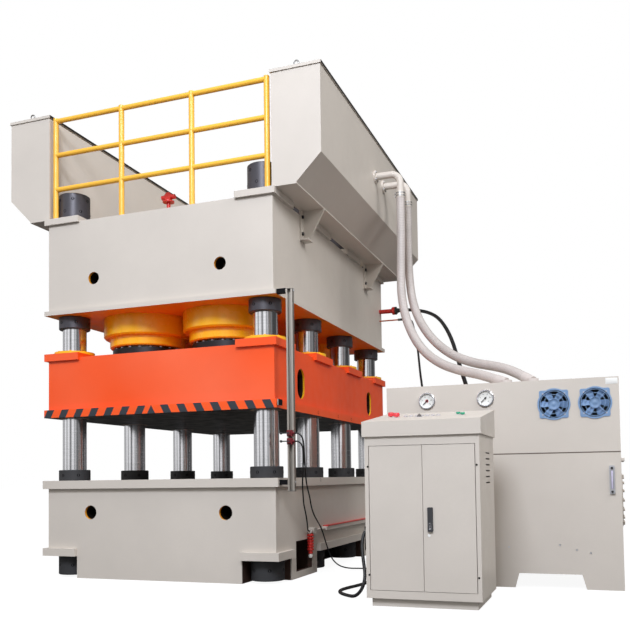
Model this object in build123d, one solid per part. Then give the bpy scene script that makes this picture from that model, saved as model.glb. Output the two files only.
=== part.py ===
"""Eight-column hydraulic press with its power unit and control console.

Millimetres, +Z up. The origin is on the floor at the middle of the press base,
the front of the press faces -Y, and the slider is drawn at the top of its stroke.
"""
from build123d import *
import math
import os

# Press frame
BODY_WIDTH = 2200.0
BODY_DEPTH = 3270.0
WALL = 50.0
RIB = 40.0
BASE_HEIGHT = 780.0
BOLSTER_THICKNESS = 72.0
BOLSTER_OVERHANG = 36.0
DAYLIGHT = 560.0
SLIDER_PLATE_THICKNESS = 70.0
SLIDER_BODY_HEIGHT = 463.0
HEADROOM = 387.0
CROWN_HEIGHT = 833.0
CROWN_PLATE_THICKNESS = 38.0
FLANGE_OVERHANG = 28.0
STROKE = 450.0

# Columns and nuts
COLUMN_DIAMETER = 210.0
COLUMN_EDGE = 150.0
COLUMN_END = 172.5
COLUMN_ROWS = 4
NUT_WALL = 33.0
BOLSTER_NUT_HEIGHT = 97.0
SPOT_RIM = 7.0
SPOT_DEPTH = 2.0
CROWN_NUT_HEIGHT = 110.0
TOP_NUT_HEIGHT = 245.0
FOOT_NUT_HEIGHT = 172.0
SLEEVE_WALL = 26.0
FIT = 0.05
CLEARANCE = 0.3

# Base: feet, notches, ledges and pin sockets
LEDGE_BOTTOM = 190.0
LEDGE_THICKNESS = 66.0
CHANNEL_WIDTH = 303.0
CORNER_NOTCH = 323.0
MIDDLE_NOTCH = 700.0
WINDOW_LENGTH = 403.0
WINDOW_BOTTOM = 55.0
WINDOW_HEIGHT = 259.0
BASE_SOCKET_INSET = 445.0
BASE_SOCKET_DROP = 207.0
BASE_SOCKET_BORE = 120.0
CROWN_SOCKET_INSET = 479.0
CROWN_SOCKET_RISE = 303.0
CROWN_SOCKET_BORE = 110.0
SOCKET_WALL = 14.0

# Column pads on the slider and on the crown
PAD_WIDTH = 360.0
PAD_LENGTH = 460.0
PAD_THICKNESS = 65.0
PAD_RISE = 40.0
CROWN_PAD_THICKNESS = 55.0
CROWN_PAD_RISE = 45.0
BUSH_WALL = 26.0
BUSH_RIM = 47.0
BUSH_FLANGE_THICKNESS = 25.0

# Slider side windows
SLOT_END = 590.0
SLOT_WIDTH = 173.0
SLOT_HEIGHT = 262.0
SLOT_RISE = 185.0

# Main cylinders
CYLINDER_X = 415.0
CYLINDER_END = 555.0
BARREL_DIAMETER = 660.0
CYLINDER_FLANGE_STEP = 70.0
CYLINDER_FLANGE_THICKNESS = 182.0
GLAND_STEP = 15.0
GLAND_THICKNESS = 90.0
BARREL_WALL = 60.0
RAM_CLEARANCE = 30.0
RAM_WALL = 90.0
RAM_LENGTH = 1080.0
PISTON_LENGTH = 110.0
RAM_FOOT_STEP = 80.0
RAM_FOOT_THICKNESS = 98.0
CYLINDER_HEAD = 60.0
VALVE_DIAMETER = 300.0
VALVE_HEIGHT = 150.0
VALVE_CAP = 20.0
VALVE_CAP_STEP = 55.0
VALVE_PORT = 70.0
BRANCH_DIAMETER = 100.0
BRANCH_FLANGE = 130.0
BRANCH_RISE = 62.0
BRANCH_NECK = 30.0
BLEED_SETBACK = 235.0
BLEED_HEIGHT = 225.0
BLEED_PIPE = 34.0
BLEED_BODY = 70.0

# Oil tanks beside the crown
TANK_LAP = 5.0
TANK_WIDTH = 430.0
TANK_HEIGHT = 928.0
TANK_CHAMFER = 215.0
TANK_TAIL = 155.0
TANK_SHEET = 8.0
LID_THICKNESS = 24.0
LID_OVERHANG = 9.0
LID_GAP = 6.0
EYE_DIAMETER = 52.0
EYE_WIRE = 12.0
EYE_INSET = 190.0
SHELF_THICKNESS = 12.0
BRACKET_END = 665.0
BRACKET_HEIGHT = 270.0
BRACKET_WEB = 20.0
BRACKET_PLATE = 16.0
BRACKET_PLATE_WIDTH = 120.0
BRACKET_HOLE = 22.0
BRACKET_HOLE_END = 60.0
BRACKET_TOE = 80.0
BRACKET_WEB_FOOT = 70.0
BRACKET_TIP = 10.0

# Railing on the crown
RAIL_TUBE = 48.0
RAIL_BAR = 44.0
RAIL_INSET = 30.0
RAIL_HEIGHT = 985.0
RAIL_PITCH = 318.0
RAIL_BAYS = 3
RAIL_ROWS = 3

# Limit-switch rail
LIMIT_STANDOFF = 136.0
LIMIT_SETBACK = 15.0
LIMIT_WIDTH = 56.0
LIMIT_DEPTH = 36.0
LIMIT_TAIL = 35.0
LIMIT_HEAD = 33.0
LIMIT_SHEET = 6.0
LIMIT_LIP = 14.0
BRACKET_BAR = 40.0
SWITCH_RISE = 287.0
SWITCH_PITCH = 64.0
SWITCH_WIDTH = 44.0
SWITCH_HEIGHT = 50.0
SWITCH_DEPTH = 30.0
SWITCH_HEAD = 14.0
SWITCH_GLAND = 18.0
LEVER_REACH = 62.0
LEVER_THICKNESS = 4.0
LEVER_WIDTH = 9.0
LEVER_HUB = 16.0
STUB_DIAMETER = 6.0
ROLLER_DIAMETER = 20.0
ROLLER_WIDTH = 8.0
DOG_RISE = 40.0
DOG_DIAMETER = 24.0
DOG_CLEARANCE = 1.0

# Services on the right side of the base
DUCT_Z = 366.0
DUCT_HEIGHT = 34.0
DUCT_WIDTH = 46.0
DUCT_START = -560.0
DUCT_END_GAP = 75.0
DUCT_COVER = 8.0
JUNCTION_SPACING = 300.0
JUNCTION_WIDTH = 90.0
JUNCTION_DEPTH = 50.0
JUNCTION_PORT = 40.0
CONDUIT_DIAMETER = 38.0
CONDUIT_RINGS = 7
CONDUIT_PITCH = 30.0
CABLE_DIAMETER = 12.0
CONTROL_CABLE = 24.0
GLAND_WALL = 4.0

# Suction pipes, pressure pipe and pilot pipe
SUCTION_PIPE = 66.0
SUCTION_BORE = 56.0
SUCTION_REACH = 251.0
SUCTION_RISE = 566.0
SUCTION_BEND = 92.0
SUCTION_FALL = 243.0
SUCTION_Y = -60.0
SUCTION_PITCH = 290.0
SUCTION_FLANGE = 124.0
FLANGE_PLATE = 16.0
HOSE_DIAMETER = 80.0
PRESSURE_SETBACK = 75.0
PRESSURE_RISE = 468.0
PRESSURE_PIPE = 50.0
PRESSURE_REACH = 200.0
PRESSURE_NOSE = 30.0
PRESSURE_FLANGE = 92.0
PILOT_RISE = 358.0
PILOT_PIPE = 16.0
PILOT_REACH = 252.0
PRESSURE_HOSE = 38.0
PILOT_HOSE = 20.0
PILOT_NUT = 30.0

# Power unit
UNIT_GAP = 830.0
UNIT_FRONT = -1278.0
UNIT_WIDTH = 1752.0
UNIT_DEPTH = 1240.0
UNIT_HEIGHT = 1561.0
UNIT_SEAM = 1005.0
UNIT_SHEET = 8.0
UNIT_FLOOR = 130.0
ARCH_SIDE = 259.0
ARCH_FOOT = 514.0
ARCH_TOP = 452.0
ARCH_HEIGHT = 108.0
FAN_INSET = 460.0
FAN_PITCH = 292.0
FAN_DROP = 185.0
FAN_RING = 238.0
FAN_LIP = 6.0
FAN_WALL = 10.0
FAN_HUB = 82.0
FAN_BLADES = 6
FAN_DEPTH = 52.0
FAN_FLANGE = 6.0
FAN_LOBE = 46.0
FAN_SHAFT = 12.0
FAN_ROTOR_SET = 18.0
FAN_HUB_LENGTH = 28.0
GUARD_WIRE = 4.0
GAUGE_X = 329.0
GAUGE_PITCH = 457.0
GAUGE_DROP = 118.0
GAUGE_DIAMETER = 132.0
GAUGE_DIAL = 112.0
GAUGE_DEPTH = 34.0
NEEDLE_LENGTH = 44.0
NEEDLE_WIDTH = 5.0
NEEDLE_PIVOT = 6.0
LEVEL_INSET = 65.0
LEVEL_DROP = 200.0
LEVEL_WIDTH = 38.0
LEVEL_LENGTH = 210.0
COVER_DROP = 365.0
COVER_DIAMETER = 420.0
COVER_PLATE = 12.0
COVER_BOLTS = 16
COVER_BOLT = 20.0
STUB_FLANGE = 12.0
MOTOR_DIAMETER = 260.0
MOTOR_LENGTH = 420.0
MOTOR_RISE = 50.0
BED_THICKNESS = 20.0
RIM_WIDTH = 60.0
SKIRT_GLAND = 30.0
FRONT_SUCTION_PORT = (815.0, 488.0, 79.0)
REAR_SUCTION_PORT = (1038.0, 498.0, 89.0)
PRESSURE_PORT = (496.0, 898.0, 79.0)
PILOT_PORT = (122.0, 773.0, 79.0)
CONTROL_GLAND_Y = -900.0
CONTROL_GLAND_Z = 90.0
SWITCH_GLAND_Y = -560.0
SWITCH_GLAND_Z = 60.0

# Control console
CONSOLE_SHIFT = 149.0
CONSOLE_SPACING = 500.0
CONSOLE_WIDTH = 754.0
CONSOLE_DEPTH = 645.0
CONSOLE_SHEET = 4.0
PLINTH_HEIGHT = 54.0
PLINTH_INSET = 30.0
CABINET_TOP = 1113.0
DESK_LIP = 100.0
DESK_RISE = 97.0
DESK_OVERHANG = 14.0
DESK_FRONT_OVERHANG = 16.0
DOOR_INSET = 26.0
DOOR_BOTTOM = 105.0
DOOR_HEAD = 60.0
DOOR_SPLIT = 386.0
DOOR_GAP = 3.0
DOOR_THICKNESS = 18.0
DOOR_SHEET = 3.0
DOOR_HINGE_GAP = 4.0
PIVOT_DIAMETER = 8.0
PIVOT_INSET = 12.0
PIVOT_LENGTH = 14.0
PIVOT_BLOCK = 16.0
HANDLE_INSET = 48.0
HANDLE_Z = 570.0
HANDLE_WIDTH = 34.0
HANDLE_LENGTH = 156.0
HANDLE_DEPTH = 14.0
HANDLE_PIN = 12.0
CONSOLE_GLAND_SETBACK = 463.0
CONSOLE_GLAND_Z = 500.0
CONSOLE_GLAND = 32.0
LOUVRES = 6
LOUVRE_LENGTH = 180.0
LOUVRE_HEIGHT = 9.0
LOUVRE_PITCH = 39.5
LOUVRE_DROP = 312.0
LOUVRE_SETBACK = 365.0
BUTTON_DIAMETER = 30.0
BUTTON_RISE = 12.0
STOP_DIAMETER = 42.0
STOP_RISE = 26.0
BUTTON_TRAVEL = 5.0
BUTTON_SHAFT = 16.0
SHAFT_LENGTH = 40.0
SELECTOR_DIAMETER = 28.0
SELECTOR_HEIGHT = 14.0
LAMP_DIAMETER = 26.0
LAMP_COUNT = 7
LAMP_PITCH = 38.0
LAMP_X = 205.0
LAMP_DISTANCE = 345.0
LAMP_RISE = 10.0

# Cords: points chosen by hand, in millimetres
SUCTION_ROUTE_FRONT = [
    (1776, -60, 3545), (1776, -60, 3400), (1778, -68, 3150), (1774, -88, 2850),
    (1786, -140, 2545), (1862, -218, 2268), (2005, -332, 2018), (2208, -475, 1848),
    (2430, -612, 1752), (2610, -712, 1700), (2745, -790, 1640),
]
SUCTION_ROUTE_REAR = [
    (1776, 230, 3545), (1776, 230, 3400), (1774, 222, 3140), (1786, 196, 2845),
    (1822, 148, 2580), (1915, 62, 2345), (2065, -75, 2135), (2268, -242, 1958),
    (2490, -420, 1846), (2715, -588, 1780), (2862, -692, 1722), (2968, -780, 1650),
]
PRESSURE_ROUTE = [
    (1330, 1560, 2800), (1450, 1560, 2800), (1590, 1478, 2762), (1750, 1290, 2688),
    (1905, 1030, 2570), (2045, 730, 2395), (2165, 420, 2195), (2262, 110, 1990),
    (2345, -150, 1812), (2398, -305, 1706), (2426, -380, 1640),
]
PILOT_ROUTE = [
    (1352, 1560, 2690), (1430, 1560, 2690), (1498, 1480, 2658), (1556, 1310, 2586),
    (1622, 1085, 2475), (1690, 840, 2362), (1758, 590, 2252), (1824, 345, 2142),
    (1886, 105, 2025), (1944, -120, 1900), (1996, -315, 1778), (2034, -445, 1690),
    (2052, -505, 1640),
]
UPPER_SWITCH_ROUTE = [
    (1276, -1653, 1203), (1298, -1653, 1203), (1320, -1649, 1192), (1333, -1637, 1171),
    (1336, -1617, 1138), (1328, -1584, 1085), (1311, -1534, 1010), (1288, -1465, 928),
    (1264, -1386, 846), (1240, -1292, 765), (1222, -1190, 690), (1208, -1120, 600),
    (1194, -1010, 520), (1184, -885, 455), (1178, -775, 385), (1174, -690, 295),
    (1176, -615, 195), (1192, -550, 100), (1235, -490, 36), (1310, -440, 8),
    (1420, -405, 7), (1545, -408, 7), (1665, -450, 7), (1765, -512, 12),
    (1832, -550, 38), (1872, -560, 60), (1900, -560, 60),
]
LOWER_SWITCH_ROUTE = [
    (1276, -1653, 1139), (1298, -1653, 1139), (1319, -1649, 1128), (1331, -1638, 1108),
    (1333, -1619, 1075), (1323, -1587, 1020), (1301, -1540, 944), (1274, -1482, 866),
    (1248, -1423, 786), (1226, -1355, 705), (1202, -1280, 628), (1180, -1185, 560),
    (1158, -1095, 482), (1139, -1030, 414), (1125, -980, 383), (1125, -945, 383),
]
CONTROL_ROUTE = [
    (2047, -1960, 500), (2003, -1960, 500), (1957, -1968, 478), (1930, -1990, 436),
    (1930, -2024, 362), (1952, -2074, 270), (1982, -2130, 180), (1985, -2160, 122),
    (1968, -2169, 72), (1936, -2160, 35), (1897, -2136, 15), (1838, -2086, 13),
    (1774, -2018, 13), (1722, -1932, 13), (1702, -1825, 13), (1722, -1690, 13),
    (1758, -1540, 13), (1778, -1385, 14), (1773, -1240, 20), (1758, -1120, 42),
    (1757, -1020, 74), (1776, -955, 88), (1813, -916, 90), (1856, -900, 90),
    (1900, -900, 90),
]


def block(x0, x1, y0, y1, z0, z1):
    """A block between two opposite corners."""
    middle = Pos((x0 + x1) / 2, (y0 + y1) / 2, (z0 + z1) / 2)
    return middle * Box(abs(x1 - x0), abs(y1 - y0), abs(z1 - z0))


def upright(x, y, z0, z1, diameter):
    """A round bar that stands between two heights."""
    return Pos(x, y, (z0 + z1) / 2) * Cylinder(diameter / 2, z1 - z0)


def along_y(x, z, y0, y1, diameter):
    """A round bar that runs front to back."""
    return Pos(x, (y0 + y1) / 2, z) * Rot(90, 0, 0) * Cylinder(diameter / 2, abs(y1 - y0))


def along_x(y, z, x0, x1, diameter):
    """A round bar that runs left to right."""
    return Pos((x0 + x1) / 2, y, z) * Rot(0, 90, 0) * Cylinder(diameter / 2, abs(x1 - x0))


def collar(x, y, z0, z1, outer, inner):
    """A ring around a vertical axis."""
    return upright(x, y, z0, z1, outer) - upright(x, y, z0 - 1, z1 + 1, inner)


def save(name, *shapes):
    """Write one sub-part; several loose solids share its file."""
    solids = [solid for shape in shapes for solid in shape.solids()]
    export_step(solids[0] if len(solids) == 1 else Compound(solids), f"parts/{name}.step")


HALF_WIDTH = BODY_WIDTH / 2
HALF_DEPTH = BODY_DEPTH / 2
COLUMN_X = HALF_WIDTH - COLUMN_EDGE
COLUMN_PITCH = (BODY_DEPTH - 2 * COLUMN_END) / (COLUMN_ROWS - 1)
COLUMN_YS = [(row - (COLUMN_ROWS - 1) / 2) * COLUMN_PITCH for row in range(COLUMN_ROWS)]
COLUMNS = [(side * COLUMN_X, y) for side in (-1, 1) for y in COLUMN_YS]
CYLINDER_Y = HALF_DEPTH - CYLINDER_END
CYLINDERS = [(x, y) for x in (-CYLINDER_X, CYLINDER_X) for y in (-CYLINDER_Y, CYLINDER_Y)]
NUT_DIAMETER = COLUMN_DIAMETER + 2 * NUT_WALL
SPOT_DIAMETER = NUT_DIAMETER + 2 * SPOT_RIM
SLEEVE_DIAMETER = COLUMN_DIAMETER + 2 * SLEEVE_WALL
BUSH_DIAMETER = COLUMN_DIAMETER + 2 * BUSH_WALL
BUSH_FLANGE_DIAMETER = BUSH_DIAMETER + 2 * BUSH_RIM
CYLINDER_BORE = BARREL_DIAMETER - 2 * BARREL_WALL
CYLINDER_FLANGE_DIAMETER = BARREL_DIAMETER + 2 * CYLINDER_FLANGE_STEP
GLAND_DIAMETER = BARREL_DIAMETER + 2 * GLAND_STEP
RAM_DIAMETER = CYLINDER_BORE - 2 * RAM_CLEARANCE
RAM_BORE = RAM_DIAMETER - 2 * RAM_WALL
RAM_FOOT_DIAMETER = RAM_DIAMETER + 2 * RAM_FOOT_STEP
BOLSTER_TOP = BASE_HEIGHT + BOLSTER_THICKNESS
SLIDER_BOTTOM = BOLSTER_TOP + DAYLIGHT
SLIDER_BODY = SLIDER_BOTTOM + SLIDER_PLATE_THICKNESS
SLIDER_TOP = SLIDER_BODY + SLIDER_BODY_HEIGHT
CROWN_UNDERSIDE = SLIDER_TOP + HEADROOM
CROWN_TOP = CROWN_UNDERSIDE + CROWN_HEIGHT
CROWN_PAD_TOP = CROWN_TOP + CROWN_PAD_RISE
BASE_SOCKET_X = HALF_WIDTH - BASE_SOCKET_INSET
BASE_SOCKET_Z = BASE_HEIGHT - BASE_SOCKET_DROP
CROWN_SOCKET_X = HALF_WIDTH - CROWN_SOCKET_INSET
CROWN_SOCKET_Z = CROWN_UNDERSIDE + CROWN_SOCKET_RISE
SLOT_Y = HALF_DEPTH - SLOT_END
SLOT_Z = SLIDER_BODY + SLOT_RISE
BLEED_Y = -HALF_DEPTH + BLEED_SETBACK
TANK_INNER_X = HALF_WIDTH - TANK_LAP
TANK_OUTER_X = TANK_INNER_X + TANK_WIDTH
TANK_BOTTOM = CROWN_PAD_TOP + SHELF_THICKNESS
TANK_REAR = HALF_DEPTH + TANK_TAIL
BRACKET_Y = HALF_DEPTH - BRACKET_END
RAIL_X = TANK_INNER_X - RAIL_TUBE
LIMIT_X = HALF_WIDTH + LIMIT_STANDOFF
LIMIT_Y = -HALF_DEPTH + LIMIT_SETBACK
LIMIT_BOTTOM = BASE_HEIGHT - LIMIT_TAIL
LIMIT_TOP = CROWN_UNDERSIDE + LIMIT_HEAD
SWITCH_Z = BOLSTER_TOP + SWITCH_RISE
SWITCH_HEIGHTS = (SWITCH_Z, SWITCH_Z + SWITCH_PITCH)
DOG_Z = SLIDER_BOTTOM + DOG_RISE
DUCT_END = HALF_DEPTH - DUCT_END_GAP
JUNCTION_Y = DUCT_START - JUNCTION_SPACING
JUNCTION_X = HALF_WIDTH + JUNCTION_DEPTH / 2
JUNCTION_Z = DUCT_Z + DUCT_HEIGHT / 2
JUNCTION_MOUTH = JUNCTION_Y - JUNCTION_WIDTH / 2 - JUNCTION_PORT
SUCTION_X = TANK_OUTER_X + SUCTION_REACH
SUCTION_Z = TANK_BOTTOM + SUCTION_RISE
SUCTION_DROP = SUCTION_Z - SUCTION_FALL
PRESSURE_Y = HALF_DEPTH - PRESSURE_SETBACK
PRESSURE_Z = CROWN_UNDERSIDE + PRESSURE_RISE
PRESSURE_END = HALF_WIDTH + PRESSURE_REACH + PRESSURE_NOSE
PILOT_Z = CROWN_UNDERSIDE + PILOT_RISE
PILOT_END = HALF_WIDTH + PILOT_REACH
FAN_OPENING = FAN_RING - 2 * FAN_LIP
FAN_SWEEP = FAN_OPENING - 2 * FAN_WALL
BRANCH_Z = TANK_BOTTOM + BRANCH_RISE
BRANCH_START = CYLINDER_X + VALVE_DIAMETER / 2 + BRANCH_NECK
COLUMN_HOLE = COLUMN_DIAMETER + 2 * FIT
CHANNEL_INNER = HALF_WIDTH - CHANNEL_WIDTH
CORNER_Y = HALF_DEPTH - CORNER_NOTCH
UNIT_LEFT = HALF_WIDTH + UNIT_GAP
UNIT_RIGHT = UNIT_LEFT + UNIT_WIDTH
UNIT_REAR = UNIT_FRONT + UNIT_DEPTH
CONSOLE_LEFT = UNIT_LEFT + CONSOLE_SHIFT
CONSOLE_FRONT = UNIT_FRONT - CONSOLE_SPACING - CONSOLE_DEPTH
CONSOLE_GLAND_Y = CONSOLE_FRONT + CONSOLE_GLAND_SETBACK
DOOR_TOP = CABINET_TOP - DOOR_HEAD
CONSOLE_RIGHT = CONSOLE_LEFT + CONSOLE_WIDTH
CONSOLE_REAR = CONSOLE_FRONT + CONSOLE_DEPTH
DESK_FRONT = CONSOLE_FRONT - DESK_FRONT_OVERHANG
DESK_LIP_TOP = CABINET_TOP + DESK_LIP
DESK_TILT = math.degrees(math.atan2(DESK_RISE, CONSOLE_REAR - DESK_FRONT))


def cell_spans(inner_edge, edges):
    """Clear spans between plates: edges lists the far face of each plate from the middle out."""
    spans = []
    start = RIB / 2
    for plate_near, plate_far in edges:
        spans.append((start, plate_near))
        start = plate_far
    spans.append((start, inner_edge))
    return spans + [(-b, -a) for a, b in spans]


def frame_cells(transverse, z0, z1, wall):
    """The hollows between the long and cross plates of a welded frame, as blocks."""
    long_plates = [(CHANNEL_INNER - RIB, CHANNEL_INNER)]
    xs = cell_spans(HALF_WIDTH - wall, long_plates)
    ys = cell_spans(HALF_DEPTH - wall, transverse)
    return [block(x0, x1, y0, y1, z0, z1) for x0, x1 in xs for y0, y1 in ys]


def column_sleeves(z0, z1):
    """Tubes welded between the plates, one around each column."""
    return [upright(x, y, z0, z1, SLEEVE_DIAMETER) for x, y in COLUMNS]


def column_bores(z0, z1, diameter):
    return [upright(x, y, z0 - 1, z1 + 1, diameter) for x, y in COLUMNS]


def pin_sockets(x, z, depth, diameter):
    """Round bars for the four lifting-pin sockets in the front and rear walls."""
    bars = []
    for side in (-1, 1):
        for face in (-1, 1):
            outside = face * (HALF_DEPTH + 1)
            bars.append(along_y(side * x, z, outside, face * (HALF_DEPTH - depth), diameter))
    return bars


def socket_tubes(x, z, depth, bore):
    """Tube walls of the sockets, flush with the outside of the frame."""
    tubes = []
    for side in (-1, 1):
        for face in (-1, 1):
            tubes.append(along_y(side * x, z, face * HALF_DEPTH, face * (HALF_DEPTH - depth),
                                 bore + 2 * SOCKET_WALL))
    return tubes


def base_weldment():
    """Welded base: stands on its feet, with the column nuts reached in notches under the ledges."""
    transverse = [(MIDDLE_NOTCH, MIDDLE_NOTCH + RIB), (CORNER_Y - RIB, CORNER_Y)]
    body = block(-HALF_WIDTH, HALF_WIDTH, -HALF_DEPTH, HALF_DEPTH, 0, BASE_HEIGHT)
    body -= frame_cells(transverse, -1, BASE_HEIGHT + 1, WALL)
    body += column_sleeves(LEDGE_BOTTOM, BASE_HEIGHT)
    body += socket_tubes(BASE_SOCKET_X, BASE_SOCKET_Z, BASE_SOCKET_BORE + WALL, BASE_SOCKET_BORE)
    body -= pin_sockets(BASE_SOCKET_X, BASE_SOCKET_Z, BASE_SOCKET_BORE + WALL + 1, BASE_SOCKET_BORE)
    reach = HALF_WIDTH + BOLSTER_OVERHANG
    for side in (-1, 1):
        outside = HALF_DEPTH + 1
        for y0, y1 in ((-outside, -CORNER_Y), (-MIDDLE_NOTCH, MIDDLE_NOTCH), (CORNER_Y, outside)):
            body -= block(side * CHANNEL_INNER, side * (HALF_WIDTH + 1), y0, y1, -1, LEDGE_BOTTOM)
        ledge_top = LEDGE_BOTTOM + LEDGE_THICKNESS
        front = HALF_DEPTH + BOLSTER_OVERHANG
        for y0, y1 in ((-front, -CORNER_Y), (-MIDDLE_NOTCH, MIDDLE_NOTCH), (CORNER_Y, front)):
            body += block(side * CHANNEL_INNER, side * reach, y0, y1, LEDGE_BOTTOM, ledge_top)
        for end in (-1, 1):
            middle = end * (MIDDLE_NOTCH + CORNER_Y) / 2
            body -= block(side * (HALF_WIDTH - WALL - 1), side * (HALF_WIDTH + 1),
                          middle - WINDOW_LENGTH / 2, middle + WINDOW_LENGTH / 2,
                          WINDOW_BOTTOM, WINDOW_BOTTOM + WINDOW_HEIGHT)
    return body - column_bores(LEDGE_BOTTOM, BASE_HEIGHT, COLUMN_HOLE)


def bolster_plate():
    """Thick plate on the base, spot-faced under each column nut."""
    plate = block(-HALF_WIDTH - BOLSTER_OVERHANG, HALF_WIDTH + BOLSTER_OVERHANG,
                  -HALF_DEPTH - BOLSTER_OVERHANG, HALF_DEPTH + BOLSTER_OVERHANG,
                  BASE_HEIGHT, BOLSTER_TOP)
    for x, y in COLUMNS:
        plate -= upright(x, y, BOLSTER_TOP - SPOT_DEPTH, BOLSTER_TOP + 1, SPOT_DIAMETER)
    return plate - column_bores(BASE_HEIGHT, BOLSTER_TOP, COLUMN_HOLE)


def column_pads(z0, z1, overhang):
    """Plates under the nuts or bushes, flush with each other and proud of the walls."""
    pads = []
    for x, y in COLUMNS:
        side = math.copysign(1, x)
        outer = HALF_WIDTH + overhang
        y0 = max(y - PAD_LENGTH / 2, -HALF_DEPTH - overhang)
        y1 = min(y + PAD_LENGTH / 2, HALF_DEPTH + overhang)
        pads.append(block(side * (outer - PAD_WIDTH), side * outer, y0, y1, z0, z1))
    return pads


def crown_weldment():
    """Welded crown: bottom and top plates with cross plates between, bored for the cylinders."""
    transverse = [(MIDDLE_NOTCH, MIDDLE_NOTCH + RIB),
                  (CYLINDER_Y + BARREL_DIAMETER / 2 + RIB / 2, CYLINDER_Y + BARREL_DIAMETER / 2 + 1.5 * RIB)]
    body = block(-HALF_WIDTH, HALF_WIDTH, -HALF_DEPTH, HALF_DEPTH, CROWN_UNDERSIDE, CROWN_TOP)
    body += block(-HALF_WIDTH - FLANGE_OVERHANG, HALF_WIDTH + FLANGE_OVERHANG,
                  -HALF_DEPTH - FLANGE_OVERHANG, HALF_DEPTH + FLANGE_OVERHANG,
                  CROWN_UNDERSIDE, CROWN_UNDERSIDE + CROWN_PLATE_THICKNESS)
    body -= frame_cells(transverse, CROWN_UNDERSIDE + CROWN_PLATE_THICKNESS,
                        CROWN_TOP - CROWN_PLATE_THICKNESS, WALL)
    body += column_sleeves(CROWN_UNDERSIDE, CROWN_TOP)
    body += column_pads(CROWN_PAD_TOP - CROWN_PAD_THICKNESS, CROWN_PAD_TOP, FLANGE_OVERHANG)
    depth = CROWN_SOCKET_BORE + WALL
    body += socket_tubes(CROWN_SOCKET_X, CROWN_SOCKET_Z, depth, CROWN_SOCKET_BORE)
    body -= pin_sockets(CROWN_SOCKET_X, CROWN_SOCKET_Z, depth + 1, CROWN_SOCKET_BORE)
    for x, y in CYLINDERS:
        body -= upright(x, y, CROWN_UNDERSIDE - 1, CROWN_TOP + 1, BARREL_DIAMETER + 2 * FIT)
    return body - column_bores(CROWN_UNDERSIDE, CROWN_PAD_TOP, COLUMN_HOLE)


def columns():
    """Ground and chromed columns from the foot nuts to the top nuts."""
    bottom = LEDGE_BOTTOM - FOOT_NUT_HEIGHT + 10
    top = CROWN_PAD_TOP + TOP_NUT_HEIGHT - 10
    bars = []
    for x, y in COLUMNS:
        bar = upright(x, y, bottom, top, COLUMN_DIAMETER)
        bars.append(chamfer(bar.edges().filter_by(GeomType.CIRCLE), 6))
    return bars


def nuts(z0, height):
    """Round column nuts with a bevelled rim."""
    rings = []
    for x, y in COLUMNS:
        blank = upright(x, y, z0, z0 + height, NUT_DIAMETER)
        blank = chamfer(blank.edges().filter_by(GeomType.CIRCLE), 5)
        rings.append(blank - upright(x, y, z0 - 1, z0 + height + 1, COLUMN_HOLE))
    return rings


def cylinder_unit(x, y):
    """A cylinder as turned: barrel in the crown, flange against its underside, gland ring below."""
    flange_bottom = CROWN_UNDERSIDE - CYLINDER_FLANGE_THICKNESS
    gland_bottom = flange_bottom - GLAND_THICKNESS
    head_bottom = CROWN_TOP - CYLINDER_HEAD
    flange = upright(x, y, flange_bottom, CROWN_UNDERSIDE, CYLINDER_FLANGE_DIAMETER)
    flange = chamfer(flange.edges().filter_by(GeomType.CIRCLE).sort_by(Axis.Z)[:1], 14)
    body = upright(x, y, CROWN_UNDERSIDE - 1, CROWN_TOP, BARREL_DIAMETER) + flange
    gland = upright(x, y, gland_bottom, flange_bottom + 1, GLAND_DIAMETER)
    body += chamfer(gland.edges().filter_by(GeomType.CIRCLE).sort_by(Axis.Z)[:1], 10)
    body -= upright(x, y, flange_bottom, head_bottom, CYLINDER_BORE)
    return body - upright(x, y, gland_bottom - 1, flange_bottom + 1, RAM_DIAMETER + 2 * FIT)


def ram(x, y):
    """A hollow ram on its bolted foot, with the piston at its top."""
    foot = collar(x, y, SLIDER_TOP, SLIDER_TOP + RAM_FOOT_THICKNESS, RAM_FOOT_DIAMETER, RAM_BORE)
    top = SLIDER_TOP + RAM_LENGTH
    shaft = collar(x, y, SLIDER_TOP, top, RAM_DIAMETER, RAM_BORE)
    piston = collar(x, y, top - PISTON_LENGTH, top, CYLINDER_BORE - 2 * FIT, RAM_BORE)
    return foot + shaft + piston


def slider_weldment():
    """Welded slider: top plate, side walls with long windows, cross plates and column pads."""
    transverse = [(MIDDLE_NOTCH, MIDDLE_NOTCH + RIB), (CORNER_Y + RIB, CORNER_Y + 2 * RIB)]
    body = block(-HALF_WIDTH, HALF_WIDTH, -HALF_DEPTH, HALF_DEPTH, SLIDER_BODY, SLIDER_TOP)
    body -= frame_cells(transverse, SLIDER_BODY - 1, SLIDER_TOP - WALL, WALL)
    body += [upright(x, y, SLIDER_BODY, SLIDER_TOP, BUSH_DIAMETER + 2 * WALL) for x, y in COLUMNS]
    body &= block(-HALF_WIDTH, HALF_WIDTH, -HALF_DEPTH, HALF_DEPTH, SLIDER_BODY, SLIDER_TOP)
    pad_top = SLIDER_TOP + PAD_RISE
    body += column_pads(pad_top - PAD_THICKNESS, pad_top, FLANGE_OVERHANG)
    for side in (-1, 1):
        for end in (-1, 1):
            slot = Plane.YZ * SlotOverall(SLOT_HEIGHT, SLOT_WIDTH, rotation=90)
            window = extrude(slot, 2 * WALL, both=True)
            body -= Pos(side * HALF_WIDTH, end * SLOT_Y, SLOT_Z) * window
    return body - column_bores(SLIDER_BODY, pad_top, BUSH_DIAMETER + 2 * FIT)


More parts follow.
